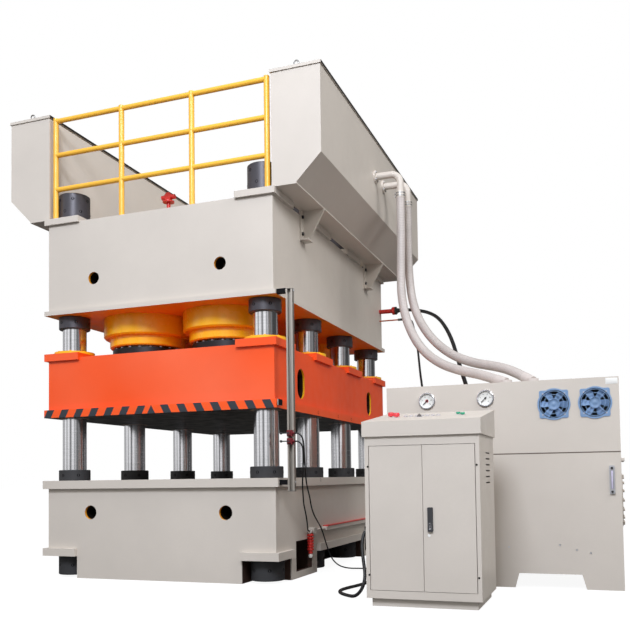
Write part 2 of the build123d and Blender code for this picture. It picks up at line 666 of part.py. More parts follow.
def slider_base_plate():
    plate = block(-HALF_WIDTH - FLANGE_OVERHANG, HALF_WIDTH + FLANGE_OVERHANG,
                  -HALF_DEPTH - FLANGE_OVERHANG, HALF_DEPTH + FLANGE_OVERHANG,
                  SLIDER_BOTTOM, SLIDER_BODY)
    return plate - column_bores(SLIDER_BOTTOM, SLIDER_BODY, BUSH_DIAMETER + 2 * FIT)


def guide_bushes():
    """Flanged guide bushes that the columns run in."""
    seat = SLIDER_TOP + PAD_RISE
    bushes = []
    for x, y in COLUMNS:
        bush = upright(x, y, SLIDER_BOTTOM, seat + 1, BUSH_DIAMETER)
        bush += upright(x, y, seat, seat + BUSH_FLANGE_THICKNESS, BUSH_FLANGE_DIAMETER)
        bushes.append(bush - upright(x, y, SLIDER_BOTTOM - 1, seat + BUSH_FLANGE_THICKNESS + 1, COLUMN_HOLE))
    return bushes


def prefill_valve(x, y):
    """Prefill valve on a cylinder head, with its flanged neck towards the near tank."""
    side = math.copysign(1, x)
    top = CROWN_TOP + VALVE_HEIGHT
    body = upright(x, y, CROWN_TOP, top, VALVE_DIAMETER)
    body = chamfer(body.edges().filter_by(GeomType.CIRCLE).sort_by(Axis.Z)[-1:], 8)
    body += upright(x, y, top - 1, top + VALVE_CAP, VALVE_DIAMETER - 2 * VALVE_CAP_STEP)
    body += along_x(y, BRANCH_Z, x, side * BRANCH_START, BRANCH_FLANGE)
    port_end = y - math.copysign(VALVE_DIAMETER / 2 + BRANCH_NECK, y)
    return body + along_y(x, CROWN_TOP + VALVE_HEIGHT / 2, y, port_end, VALVE_PORT)


def branch_pipe(x, y):
    """Filling pipe between the neck of a prefill valve and a tank's inner wall, flanged at both ends."""
    side = math.copysign(1, x)
    start = side * BRANCH_START
    wall = side * TANK_INNER_X
    pipe = along_x(y, BRANCH_Z, start, wall, BRANCH_DIAMETER)
    pipe += along_x(y, BRANCH_Z, start, start + side * FLANGE_PLATE, BRANCH_FLANGE)
    return pipe + along_x(y, BRANCH_Z, wall - side * FLANGE_PLATE, wall, BRANCH_FLANGE)


def crown_valve():
    """Bleed valve on a riser at the front of the crown."""
    top = CROWN_TOP + BLEED_HEIGHT
    middle = top - BLEED_BODY / 2
    valve = upright(0, BLEED_Y, CROWN_TOP, top, BLEED_PIPE)
    return valve + along_y(0, middle, BLEED_Y - BLEED_PIPE / 2, BLEED_Y + BLEED_PIPE / 2, BLEED_BODY)


def tank_profile(side, inset):
    """Section of a tank across the press: a box with its lower outer corner cut off."""
    x0 = TANK_INNER_X + inset
    x1 = TANK_INNER_X + TANK_WIDTH - inset
    z0 = TANK_BOTTOM + inset
    z1 = TANK_BOTTOM + TANK_HEIGHT
    slope = inset * math.tan(math.radians(22.5))
    points = [(x0, z0), (x1 - TANK_CHAMFER + inset - slope, z0), (x1, z0 + TANK_CHAMFER - inset + slope),
              (x1, z1), (x0, z1)]
    return [(side * x, 0, z) for x, z in points]


def tank(side):
    """Folded sheet tank, open at the top under its lid."""
    length = HALF_DEPTH + TANK_REAR
    front = -HALF_DEPTH
    outer_face = Face(Wire.make_polygon([Vector(x, front, z) for x, _, z in tank_profile(side, 0)]))
    inner_points = tank_profile(side, TANK_SHEET)
    lift = TANK_SHEET
    inner_outline = [Vector(x, front + TANK_SHEET, z) for x, _, z in inner_points[:3]]
    inner_outline += [Vector(x, front + TANK_SHEET, z + lift) for x, _, z in inner_points[3:]]
    inner_face = Face(Wire.make_polygon(inner_outline))
    shell = extrude(outer_face, length, dir=(0, 1, 0))
    return shell - extrude(inner_face, length - 2 * TANK_SHEET, dir=(0, 1, 0))


def tank_lid(side):
    """Lid with a folded edge, a raised seal under it and a lifting eye at each end."""
    seam = TANK_BOTTOM + TANK_HEIGHT
    x0 = side * (TANK_INNER_X - LID_OVERHANG)
    x1 = side * (TANK_INNER_X + TANK_WIDTH + LID_OVERHANG)
    y0 = -HALF_DEPTH - LID_OVERHANG
    y1 = TANK_REAR + LID_OVERHANG
    lid = block(x0, x1, y0, y1, seam + LID_GAP, seam + LID_GAP + LID_THICKNESS)
    seal = LID_OVERHANG + TANK_SHEET / 2
    lid += block(x0 + side * seal, x1 - side * seal, y0 + seal, y1 - seal, seam, seam + LID_GAP + 1)
    eye = Torus(EYE_DIAMETER / 2, EYE_WIRE / 2)
    lid_top = seam + LID_GAP + LID_THICKNESS
    for y in (y0 + EYE_INSET, y1 - EYE_INSET):
        lid += Pos((x0 + x1) / 2, y, lid_top + EYE_DIAMETER / 2) * Rot(90, 0, 0) * eye
    return lid


def tank_bracket(side, y):
    """Bolted gusset: a drilled back plate, a triangular web and a toe plate."""
    shelf_bottom = TANK_BOTTOM - SHELF_THICKNESS
    wall = side * HALF_WIDTH
    reach = TANK_INNER_X + TANK_WIDTH - TANK_CHAMFER
    low = shelf_bottom - BRACKET_HEIGHT
    plate = block(wall, wall + side * BRACKET_PLATE, y - BRACKET_PLATE_WIDTH / 2, y + BRACKET_PLATE_WIDTH / 2,
                  low, shelf_bottom)
    outline = [(wall, low), (wall + side * BRACKET_WEB_FOOT, low),
               (side * reach, shelf_bottom - BRACKET_TIP),
               (side * reach, shelf_bottom), (wall, shelf_bottom)]
    web_face = Face(Wire.make_polygon([Vector(x, y - BRACKET_WEB / 2, z) for x, z in outline]))
    gusset = plate + extrude(web_face, BRACKET_WEB, dir=(0, 1, 0))
    gusset += block(wall, wall + side * BRACKET_TOE, y - BRACKET_PLATE_WIDTH / 2, y + BRACKET_PLATE_WIDTH / 2,
                    low, low + BRACKET_PLATE)
    for dy in (-1, 1):
        for z in (low + BRACKET_HOLE_END, shelf_bottom - BRACKET_HOLE_END):
            hole_y = y + dy * (BRACKET_PLATE_WIDTH / 2 - BRACKET_HOLE)
            gusset -= along_x(hole_y, z, wall - side, wall + side * (BRACKET_PLATE + 1), BRACKET_HOLE)
    return gusset


def tank_brackets():
    """A shelf plate under each tank, carried on the crown's pads and two gussets."""
    shelf_bottom = TANK_BOTTOM - SHELF_THICKNESS
    reach = TANK_INNER_X + TANK_WIDTH - TANK_CHAMFER
    frames = []
    for side in (-1, 1):
        shelf = block(side * TANK_INNER_X, side * reach, -HALF_DEPTH, TANK_REAR, shelf_bottom, TANK_BOTTOM)
        for end in (-1, 1):
            shelf += tank_bracket(side, end * BRACKET_Y)
        frames.append(shelf)
    return frames


def railing(face):
    """Tube railing across the crown, front or rear: posts, and rails coped to them in each bay."""
    y = face * (HALF_DEPTH - RAIL_INSET)
    top = CROWN_TOP + RAIL_HEIGHT
    xs = [-RAIL_X + 2 * RAIL_X * post / RAIL_BAYS for post in range(RAIL_BAYS + 1)]
    posts = [upright(x, y, CROWN_TOP, top, RAIL_TUBE) for x in xs[1:-1]]
    posts += [upright(x, y, CROWN_PAD_TOP, top, RAIL_TUBE) for x in (xs[0], xs[-1])]
    rails = []
    for left, right in zip(xs, xs[1:]):
        for row in range(RAIL_ROWS):
            z = top - RAIL_TUBE / 2 - row * RAIL_PITCH
            bar = along_x(y, z, left, right, RAIL_BAR)
            for x in (left, right):
                bar -= upright(x, y, z - RAIL_TUBE, z + RAIL_TUBE, RAIL_TUBE)
            rails.append(bar)
    return posts + rails


def suction_pipes():
    """Two tank outlets: flange on the tank wall, elbow, and a spigot for the hose."""
    pipes = []
    wall = TANK_OUTER_X
    for index in range(2):
        y = SUCTION_Y + index * SUCTION_PITCH
        path = FilletPolyline((wall, y, SUCTION_Z), (SUCTION_X, y, SUCTION_Z), (SUCTION_X, y, SUCTION_DROP),
                              radius=SUCTION_BEND)
        ring = Plane(path @ 0, z_dir=path % 0) * (Circle(SUCTION_PIPE / 2) - Circle(SUCTION_BORE / 2))
        pipe = sweep(ring, path)
        flange = along_x(y, SUCTION_Z, wall, wall + FLANGE_PLATE, SUCTION_FLANGE)
        pipe += flange - along_x(y, SUCTION_Z, wall - 1, wall + FLANGE_PLATE + 1, SUCTION_BORE)
        collar_top = SUCTION_DROP + 60
        pipe += collar(SUCTION_X, y, SUCTION_DROP, collar_top, HOSE_DIAMETER + 8, SUCTION_BORE)
        pipes.append(pipe)
    return pipes


def pressure_pipe():
    """Main pressure outlet: pipe with a square port block and a screwed hose end."""
    start = HALF_WIDTH
    end = start + PRESSURE_REACH
    pipe = along_x(PRESSURE_Y, PRESSURE_Z, start, end, PRESSURE_PIPE)
    pipe += along_x(PRESSURE_Y, PRESSURE_Z, end - 40, end - 18, PRESSURE_FLANGE)
    pipe += along_x(PRESSURE_Y, PRESSURE_Z, end - 12, end + 6, PRESSURE_FLANGE)
    return pipe + along_x(PRESSURE_Y, PRESSURE_Z, end, PRESSURE_END, PRESSURE_HOSE + 16)


def pilot_pipe():
    pipe = along_x(PRESSURE_Y, PILOT_Z, HALF_WIDTH, PILOT_END - 1, PILOT_PIPE)
    nut = along_x(PRESSURE_Y, PILOT_Z, PILOT_END - PILOT_NUT, PILOT_END, PILOT_HOSE + 2 * GLAND_WALL)
    return pipe + nut


def limit_rail():
    """Slotted channel that carries the limit switches, on a bar from each plate edge."""
    half = LIMIT_WIDTH / 2
    front = LIMIT_Y - LIMIT_DEPTH / 2
    back = LIMIT_Y + LIMIT_DEPTH / 2
    rail = block(LIMIT_X - half, LIMIT_X + half, front, back, LIMIT_BOTTOM, LIMIT_TOP)
    rail -= block(LIMIT_X - half + LIMIT_SHEET, LIMIT_X + half - LIMIT_SHEET,
                  front + LIMIT_SHEET, back - LIMIT_SHEET, LIMIT_BOTTOM - 1, LIMIT_TOP + 1)
    rail -= block(LIMIT_X - half + LIMIT_LIP, LIMIT_X + half - LIMIT_LIP,
                  front - 1, front + LIMIT_SHEET + 1, LIMIT_BOTTOM - 1, LIMIT_TOP + 1)
    low = (BASE_HEIGHT + BOLSTER_TOP) / 2
    rail += block(HALF_WIDTH + BOLSTER_OVERHANG, LIMIT_X - half, back - BRACKET_BAR, back,
                  low - BRACKET_BAR / 2, low + BRACKET_BAR / 2)
    high = CROWN_UNDERSIDE + CROWN_PLATE_THICKNESS / 2
    return rail + block(HALF_WIDTH + FLANGE_OVERHANG, LIMIT_X - half, back - BRACKET_BAR, back,
                        high - CROWN_PLATE_THICKNESS / 2, high + CROWN_PLATE_THICKNESS / 2)


def limit_switch(z):
    """Switch housing on the front of the rail, with a cable gland outward and a lever stub in front."""
    seat = LIMIT_Y - LIMIT_DEPTH / 2
    half = SWITCH_WIDTH / 2
    face = lever_plane()
    housing = block(LIMIT_X - half, LIMIT_X + half, seat - SWITCH_DEPTH, seat,
                    z - SWITCH_HEIGHT / 2, z + SWITCH_HEIGHT / 2)
    housing = fillet(housing.edges().filter_by(Axis.Z), 4)
    housing += block(LIMIT_X - half + 6, LIMIT_X + half - 6, face, seat - SWITCH_DEPTH + 1, z - 14, z + 14)
    housing += along_x(seat - SWITCH_DEPTH / 2, z, LIMIT_X + half - 1, LIMIT_X + half + SWITCH_GLAND,
                       CABLE_DIAMETER + 2 * GLAND_WALL)
    return housing + along_y(LIMIT_X, z, face + 1, face - CLEARANCE - LEVER_THICKNESS, STUB_DIAMETER)


def lever_plane():
    """Front face of the switch heads."""
    return LIMIT_Y - LIMIT_DEPTH / 2 - SWITCH_DEPTH - SWITCH_HEAD


def switch_lever(z):
    """Lever with its roller, turning on the stub in front of the switch head."""
    back = lever_plane() - CLEARANCE
    front = back - LEVER_THICKNESS
    tip = LIMIT_X - LEVER_REACH
    arm = block(tip, LIMIT_X, front, back, z - LEVER_WIDTH / 2, z + LEVER_WIDTH / 2)
    arm += along_y(LIMIT_X, z, front, back, LEVER_HUB)
    arm += along_y(tip, z, front - ROLLER_WIDTH, back, ROLLER_DIAMETER)
    return arm - along_y(LIMIT_X, z, front - 1, back + 1, STUB_DIAMETER + 2 * FIT)


def slider_dog():
    """Trip dog: a bar from the slider's plate edge, its nose beside the rollers' path."""
    tip = LIMIT_X - LEVER_REACH - ROLLER_DIAMETER / 2 - DOG_CLEARANCE
    front = lever_plane() - CLEARANCE - LEVER_THICKNESS - ROLLER_WIDTH
    bar = along_x(-HALF_DEPTH, DOG_Z, HALF_WIDTH + FLANGE_OVERHANG, tip - DOG_DIAMETER / 4, DOG_DIAMETER)
    return bar + block(tip - DOG_DIAMETER / 2, tip, front, -HALF_DEPTH + DOG_DIAMETER / 2,
                       DOG_Z - DOG_DIAMETER, DOG_Z + DOG_DIAMETER)


def cable_duct():
    """Cable duct along the base, under its cover strip."""
    return block(HALF_WIDTH, HALF_WIDTH + DUCT_WIDTH, DUCT_START, DUCT_END, DUCT_Z, DUCT_Z + DUCT_HEIGHT)


def duct_cover():
    top = DUCT_Z + DUCT_HEIGHT
    return block(HALF_WIDTH, HALF_WIDTH + DUCT_WIDTH + 4, DUCT_START + 30, DUCT_END, top, top + DUCT_COVER)


def junction_box():
    """Small cast junction box with two glands beside the duct's end."""
    half = JUNCTION_WIDTH / 2
    box = block(HALF_WIDTH, HALF_WIDTH + JUNCTION_DEPTH, JUNCTION_Y - half, JUNCTION_Y + half,
                JUNCTION_Z - half * 0.6, JUNCTION_Z + half * 0.6)
    box = fillet(box.edges().filter_by(Axis.X), 8)
    box += along_y(JUNCTION_X, JUNCTION_Z, JUNCTION_Y + half - 1, DUCT_START, 26)
    return box + along_y(JUNCTION_X, JUNCTION_Z, JUNCTION_MOUTH, JUNCTION_Y - half + 1, 44)


def red_conduit():
    """Corrugated conduit: stacked convolutions that hang from the junction box's gland."""
    y = (JUNCTION_MOUTH + JUNCTION_Y - JUNCTION_WIDTH / 2) / 2 - 2
    top = JUNCTION_Z - 22
    length = CONDUIT_RINGS * CONDUIT_PITCH
    body = upright(JUNCTION_X, y, top - length, top, CONDUIT_DIAMETER - 8)
    for turn in range(CONDUIT_RINGS):
        z = top - turn * CONDUIT_PITCH
        body += upright(JUNCTION_X, y, z - CONDUIT_PITCH * 0.7, z - CONDUIT_PITCH * 0.2, CONDUIT_DIAMETER)
    return body


def arch(offset):
    """Cut-out between two feet, wider at the floor than at its top."""
    middle = UNIT_LEFT + offset + ARCH_FOOT / 2
    outline = [(middle - ARCH_FOOT / 2, -1), (middle + ARCH_FOOT / 2, -1),
               (middle + ARCH_TOP / 2, ARCH_HEIGHT), (middle - ARCH_TOP / 2, ARCH_HEIGHT)]
    face = Face(Wire.make_polygon([Vector(x, UNIT_FRONT - 1, z) for x, z in outline]))
    return extrude(face, UNIT_DEPTH + 2, dir=(0, 1, 0))


def oil_tank():
    """Lower tank of the power unit: walls down to the floor, a raised bottom, and a rim under the bed."""
    x0, x1 = UNIT_LEFT + UNIT_SHEET, UNIT_RIGHT - UNIT_SHEET
    y0, y1 = UNIT_FRONT + UNIT_SHEET, UNIT_REAR - UNIT_SHEET
    body = block(UNIT_LEFT, UNIT_RIGHT, UNIT_FRONT, UNIT_REAR, 0, UNIT_SEAM)
    body -= block(x0, x1, y0, y1, -1, UNIT_FLOOR)
    body -= block(x0, x1, y0, y1, UNIT_FLOOR + UNIT_SHEET, UNIT_SEAM - UNIT_SHEET)
    body -= block(x0 + RIM_WIDTH, x1 - RIM_WIDTH, y0 + RIM_WIDTH, y1 - RIM_WIDTH,
                  UNIT_SEAM - UNIT_SHEET - 1, UNIT_SEAM + 1)
    for offset in (ARCH_SIDE, UNIT_WIDTH - ARCH_SIDE - ARCH_FOOT):
        body -= arch(offset)
    for y, z, cable in ((CONTROL_GLAND_Y, CONTROL_GLAND_Z, CONTROL_CABLE),
                        (SWITCH_GLAND_Y, SWITCH_GLAND_Z, CABLE_DIAMETER)):
        body += along_x(y, z, UNIT_LEFT - SKIRT_GLAND, UNIT_LEFT + 1, cable + 2 * GLAND_WALL)
    return body


def fan_centres():
    return [(UNIT_RIGHT - FAN_INSET + index * FAN_PITCH, UNIT_HEIGHT - FAN_DROP) for index in range(2)]


def gauge_centres():
    return [(UNIT_LEFT + GAUGE_X + index * GAUGE_PITCH, UNIT_HEIGHT - GAUGE_DROP) for index in range(2)]


def pump_housing():
    """Upper housing of the power unit, with round openings for the fans and the gauges."""
    body = block(UNIT_LEFT, UNIT_RIGHT, UNIT_FRONT, UNIT_REAR, UNIT_SEAM, UNIT_HEIGHT)
    body -= block(UNIT_LEFT + UNIT_SHEET, UNIT_RIGHT - UNIT_SHEET, UNIT_FRONT + UNIT_SHEET,
                  UNIT_REAR - UNIT_SHEET, UNIT_SEAM - 1, UNIT_HEIGHT - UNIT_SHEET)
    for x, z in fan_centres():
        body -= along_y(x, z, UNIT_FRONT - 1, UNIT_FRONT + UNIT_SHEET + 1, FAN_OPENING)
    for x, z in gauge_centres():
        body -= along_y(x, z, UNIT_FRONT - 1, UNIT_FRONT + UNIT_SHEET + 1, GAUGE_DIAL)
    return body


def fan_frame(x, z):
    """Fan housing: a lobed flange and its ring, the motor on spokes at the back, a guard in front."""
    front = UNIT_FRONT - FAN_FLANGE
    back = UNIT_FRONT + FAN_DEPTH
    ring = along_y(x, z, front, UNIT_FRONT, FAN_RING)
    for angle in (45, 135, 225, 315):
        lobe = along_y(FAN_RING / 2 - FAN_LOBE / 3, 0, front, UNIT_FRONT, FAN_LOBE)
        ring += Pos(x, 0, z) * Rot(0, angle, 0) * lobe
    ring += along_y(x, z, UNIT_FRONT - 1, back, FAN_OPENING - 2 * CLEARANCE)
    ring -= along_y(x, z, front - 1, back + 1, FAN_SWEEP + 8)
    hub = along_y(x, z, back - 14, back, FAN_HUB)
    hub += along_y(x, z, UNIT_FRONT + FAN_ROTOR_SET - 2, back - 13, FAN_SHAFT)
    for spoke in range(4):
        bar = block(FAN_HUB / 2 - 4, FAN_OPENING / 2 - 4, back - 12, back - 2, -5, 5)
        hub += Pos(x, 0, z) * Rot(0, 45 + 90 * spoke, 0) * bar
    guard = None
    for radius in (FAN_HUB / 2, (FAN_HUB + FAN_SWEEP) / 4, FAN_SWEEP / 2 - GUARD_WIRE):
        wire = along_y(x, z, front, front + GUARD_WIRE, 2 * radius + GUARD_WIRE)
        wire -= along_y(x, z, front - 1, front + GUARD_WIRE + 1, 2 * radius - GUARD_WIRE)
        guard = wire if guard is None else guard + wire
    for spoke in range(4):
        bar = block(FAN_HUB / 2, FAN_SWEEP / 2 + 6, front, front + GUARD_WIRE,
                    -GUARD_WIRE / 2, GUARD_WIRE / 2)
        guard += Pos(x, 0, z) * Rot(0, 45 + 90 * spoke, 0) * bar
    return ring + hub + guard


def fan_rotor(x, z):
    """Fan rotor: a bored hub with swept blades set at an angle."""
    half = FAN_HUB_LENGTH / 2
    rotor = along_y(0, 0, -half, half, FAN_HUB)
    for blade in range(FAN_BLADES):
        root = FAN_HUB / 2 - 3
        tip = FAN_SWEEP / 2
        outline = [Vector(root, 0, -19), Vector(tip * 0.8, 0, -34), Vector(tip * 0.97, 0, -20),
                   Vector(tip * 0.98, 0, 16), Vector(tip * 0.75, 0, 24), Vector(root, 0, 19)]
        vane = extrude(Face(Wire.make_polygon(outline)), 1.5, dir=(0, 1, 0), both=True)
        rotor += Rot(0, 360 * blade / FAN_BLADES, 0) * Rot(28, 0, 0) * vane
    rotor -= along_y(0, 0, -4, half + 1, FAN_SHAFT + 2 * FIT)
    return Pos(x, UNIT_FRONT + FAN_ROTOR_SET, z) * rotor


def gauge_case(x, z):
    """Gauge case with its front bezel, let into the housing."""
    front = UNIT_FRONT - GAUGE_DEPTH / 2
    case = along_y(x, z, front, UNIT_FRONT, GAUGE_DIAMETER)
    case = chamfer(case.edges().filter_by(GeomType.CIRCLE).sort_by(Axis.Y)[:1], 5)
    case += along_y(x, z, UNIT_FRONT, UNIT_FRONT + GAUGE_DEPTH, GAUGE_DIAL - 1)
    case -= along_y(x, z, front - 1, front + 12, GAUGE_DIAL)
    return case + along_y(x, z, front + 5, front + 13, NEEDLE_PIVOT)


def gauge_needle(x, z):
    """Needle on its pivot, over the dial, at zero."""
    y = UNIT_FRONT - GAUGE_DEPTH / 2 + 5
    hub = along_y(0, 0, -3, 2, 14) - along_y(0, 0, -1, 4, NEEDLE_PIVOT + 2 * FIT)
    blade = block(-NEEDLE_WIDTH / 2, NEEDLE_WIDTH / 2, -2.5, -1, -14, NEEDLE_LENGTH)
    return Pos(x, y, z) * Rot(0, -135, 0) * (hub + blade)


def level_gauge():
    """Sight glass for the oil level: bar frame, glass tube and two bolts."""
    y = UNIT_FRONT
    x = UNIT_RIGHT - LEVEL_INSET
    z = UNIT_SEAM - LEVEL_DROP
    frame = block(x - LEVEL_WIDTH / 2, x + LEVEL_WIDTH / 2, y - 12, y,
                  z - LEVEL_LENGTH / 2, z + LEVEL_LENGTH / 2)
    frame = fillet(frame.edges().filter_by(Axis.Y), 8)
    frame -= block(x - LEVEL_WIDTH / 4, x + LEVEL_WIDTH / 4, y - 13, y - 3,
                   z - LEVEL_LENGTH * 0.32, z + LEVEL_LENGTH * 0.32)
    for end in (-1, 1):
        frame += along_y(x, z + end * LEVEL_LENGTH * 0.41, y - 20, y - 11, 20)
    return frame


def clean_out_cover():
    """Bolted clean-out cover on the tank's right end."""
    y = (UNIT_FRONT + UNIT_REAR) / 2
    z = UNIT_SEAM - COVER_DROP
    cover = along_x(y, z, UNIT_RIGHT, UNIT_RIGHT + COVER_PLATE, COVER_DIAMETER)
    for bolt in range(COVER_BOLTS):
        angle = 2 * math.pi * bolt / COVER_BOLTS
        radius = COVER_DIAMETER / 2 - COVER_BOLT
        cover += along_x(y + radius * math.cos(angle), z + radius * math.sin(angle),
                         UNIT_RIGHT + COVER_PLATE - 1, UNIT_RIGHT + COVER_PLATE + 12, COVER_BOLT)
    return cover


def hose_stub(route, diameter):
    """Elbow fitting on the power unit's roof, whose spigot points back along the end of the hose."""
    end = Vector(*route[-1])
    direction = (end - Vector(*route[-2])).normalized()
    outer = diameter + 2 * GLAND_WALL
    reach = (end.Z - UNIT_HEIGHT - outer / 2) / -direction.Z
    foot = end + direction * reach
    spigot = Plane(end + direction * (reach / 2), z_dir=direction) * Cylinder(outer / 2, reach)
    boss = upright(foot.X, foot.Y, UNIT_HEIGHT, foot.Z + outer / 4, outer + 2 * GLAND_WALL)
    return spigot + boss + upright(foot.X, foot.Y, UNIT_HEIGHT, UNIT_HEIGHT + STUB_FLANGE, 1.6 * outer)


def motor_pump():
    """Motor and pump on the bed plate that closes the tank, inside the housing."""
    x = (UNIT_LEFT + UNIT_RIGHT) / 2
    y = (UNIT_FRONT + UNIT_REAR) / 2
    bed_top = UNIT_SEAM + BED_THICKNESS
    z = bed_top + MOTOR_RISE + MOTOR_DIAMETER / 2
    end = x - MOTOR_LENGTH / 2
    half = MOTOR_DIAMETER / 2
    motor = along_x(y, z, end, x + MOTOR_LENGTH / 2, MOTOR_DIAMETER)
    motor += along_x(y, z, end - MOTOR_LENGTH / 2, end + 1, half)
    motor += block(end, x + MOTOR_LENGTH / 2, y - half, y + half, bed_top - 1, z - half / 2)
    edge = UNIT_SHEET + CLEARANCE
    return motor + block(UNIT_LEFT + edge, UNIT_RIGHT - edge, UNIT_FRONT + edge, UNIT_REAR - edge,
                         UNIT_SEAM, bed_top)


def console_cabinet():
    """Folded cabinet on its plinth: open behind the doors, louvred on its right side."""
    x0, x1 = CONSOLE_LEFT, CONSOLE_RIGHT
    y0, y1 = CONSOLE_FRONT, CONSOLE_REAR
    sheet = CONSOLE_SHEET
    frame_back = y0 + DOOR_THICKNESS + 2 * sheet
    body = block(x0, x1, y0, y1, PLINTH_HEIGHT, CABINET_TOP)
    body -= block(x0 + sheet, x1 - sheet, frame_back, y1 - sheet, PLINTH_HEIGHT + sheet, CABINET_TOP - sheet)
    body -= block(x0 + DOOR_INSET, x1 - DOOR_INSET, y0 - 1, frame_back + 1, DOOR_BOTTOM, DOOR_TOP)
    inset = PLINTH_INSET
    body += block(x0 + inset, x1 - inset, y0 + inset, y1 - inset, 0, PLINTH_HEIGHT)
    inset += sheet
    body -= block(x0 + inset, x1 - inset, y0 + inset, y1 - inset, -1, PLINTH_HEIGHT)
    louvre_y = y0 + LOUVRE_SETBACK
    louvre_z = CABINET_TOP - LOUVRE_DROP
    louvre = block(x1 - sheet - 1, x1 + 1, louvre_y - LOUVRE_LENGTH / 2, louvre_y + LOUVRE_LENGTH / 2,
                   louvre_z - LOUVRE_HEIGHT / 2, louvre_z + LOUVRE_HEIGHT / 2)
    for index in range(LOUVRES):
        body -= Pos(0, 0, index * LOUVRE_PITCH) * louvre
    for left in (True, False):
        x, y = pivot_place(left)
        body += upright(x, y, DOOR_BOTTOM - 1, DOOR_BOTTOM + PIVOT_LENGTH, PIVOT_DIAMETER)
        body += upright(x, y, DOOR_TOP - PIVOT_LENGTH, DOOR_TOP + 1, PIVOT_DIAMETER)
    return body + along_x(CONSOLE_GLAND_Y, CONSOLE_GLAND_Z, x0 - CONSOLE_GLAND, x0 + 1,
                          CONTROL_CABLE + 2 * GLAND_WALL)


def console_desk():
    """Desk: a folded lip at the front and a panel that slopes up to the back, drilled for the controls."""
    x0 = CONSOLE_LEFT - DESK_OVERHANG
    outline = [(DESK_FRONT, CABINET_TOP), (CONSOLE_REAR, CABINET_TOP),
               (CONSOLE_REAR, DESK_LIP_TOP + DESK_RISE), (DESK_FRONT, DESK_LIP_TOP)]
    sheet = CONSOLE_SHEET
    hollow = [(DESK_FRONT + sheet, CABINET_TOP + sheet), (CONSOLE_REAR - sheet, CABINET_TOP + sheet),
              (CONSOLE_REAR - sheet, DESK_LIP_TOP + DESK_RISE - 1.5 * sheet),
              (DESK_FRONT + sheet, DESK_LIP_TOP - sheet)]
    width = CONSOLE_WIDTH + 2 * DESK_OVERHANG
    face = Face(Wire.make_polygon([Vector(x0, y, z) for y, z in outline]))
    inner = Face(Wire.make_polygon([Vector(x0 + sheet, y, z) for y, z in hollow]))
    desk = extrude(face, width, dir=(1, 0, 0)) - extrude(inner, width - 2 * sheet, dir=(1, 0, 0))
    for x, distance, _ in controls():
        hole = Cylinder(BUTTON_SHAFT / 2 + FIT, 6 * sheet)
        desk -= desk_place(x, distance) * hole
    return desk


def desk_place(x, distance):
    """Frame on the desk's slope, distance back from the lip, with Z out of the panel."""
    lip = Pos(CONSOLE_LEFT + x, DESK_FRONT, DESK_LIP_TOP)
    return lip * Rot(DESK_TILT, 0, 0) * Pos(0, distance, 0)


def controls():
    """Place across and up the desk, and kind, of each push button and selector."""
    return [(92, 380, "stop"), (150, 310, "stop"), (318, 270, "selector"),
            (566, 370, "start"), (606, 305, "start")]


def push_button(x, distance, diameter, rise):
    """Button head that stands off by its travel, with its shaft through the panel."""
    base = BUTTON_TRAVEL + CLEARANCE
    head = Pos(0, 0, base + rise / 2) * Cylinder(diameter / 2, rise)
    head = fillet(head.edges().filter_by(GeomType.CIRCLE).sort_by(Axis.Z)[-1:], rise * 0.3)
    top = base + 1
    shaft = Pos(0, 0, (top - SHAFT_LENGTH) / 2) * Cylinder(BUTTON_SHAFT / 2, top + SHAFT_LENGTH)
    return desk_place(x, distance) * (head + shaft)


def selector_switch(x, distance):
    """Rotary selector: a round knob with its finger bar, on a shaft through the panel."""
    knob = Pos(0, 0, CLEARANCE + SELECTOR_HEIGHT / 2) * Cylinder(SELECTOR_DIAMETER / 2, SELECTOR_HEIGHT)
    bar = Pos(0, 0, SELECTOR_HEIGHT) * Box(SELECTOR_DIAMETER / 4, SELECTOR_DIAMETER, SELECTOR_HEIGHT)
    top = CLEARANCE + 1
    shaft = Pos(0, 0, (top - SHAFT_LENGTH) / 2) * Cylinder(BUTTON_SHAFT / 2, top + SHAFT_LENGTH)
    return desk_place(x, distance) * (knob + bar + shaft)


def pilot_lamps():
    """Row of pilot lamps across the desk."""
    lamps = []
    for index in range(LAMP_COUNT):
        lens = Pos(0, 0, LAMP_RISE / 2) * Cylinder(LAMP_DIAMETER / 2, LAMP_RISE)
        lens = fillet(lens.edges().filter_by(GeomType.CIRCLE).sort_by(Axis.Z)[-1:], LAMP_RISE * 0.4)
        lamps.append(desk_place(LAMP_X + index * LAMP_PITCH, LAMP_DISTANCE) * lens)
    return lamps


def door_edges(left):
    """Hinge edge and free edge of a door."""
    if left:
        return CONSOLE_LEFT + DOOR_INSET + DOOR_HINGE_GAP, CONSOLE_LEFT + DOOR_SPLIT - DOOR_GAP / 2
    return CONSOLE_RIGHT - DOOR_INSET - DOOR_HINGE_GAP, CONSOLE_LEFT + DOOR_SPLIT + DOOR_GAP / 2


def pivot_place(left):
    """Hinge axis of a door, seen from above."""
    hinge, free = door_edges(left)
    return hinge + math.copysign(PIVOT_INSET, free - hinge), CONSOLE_FRONT + DOOR_THICKNESS / 2


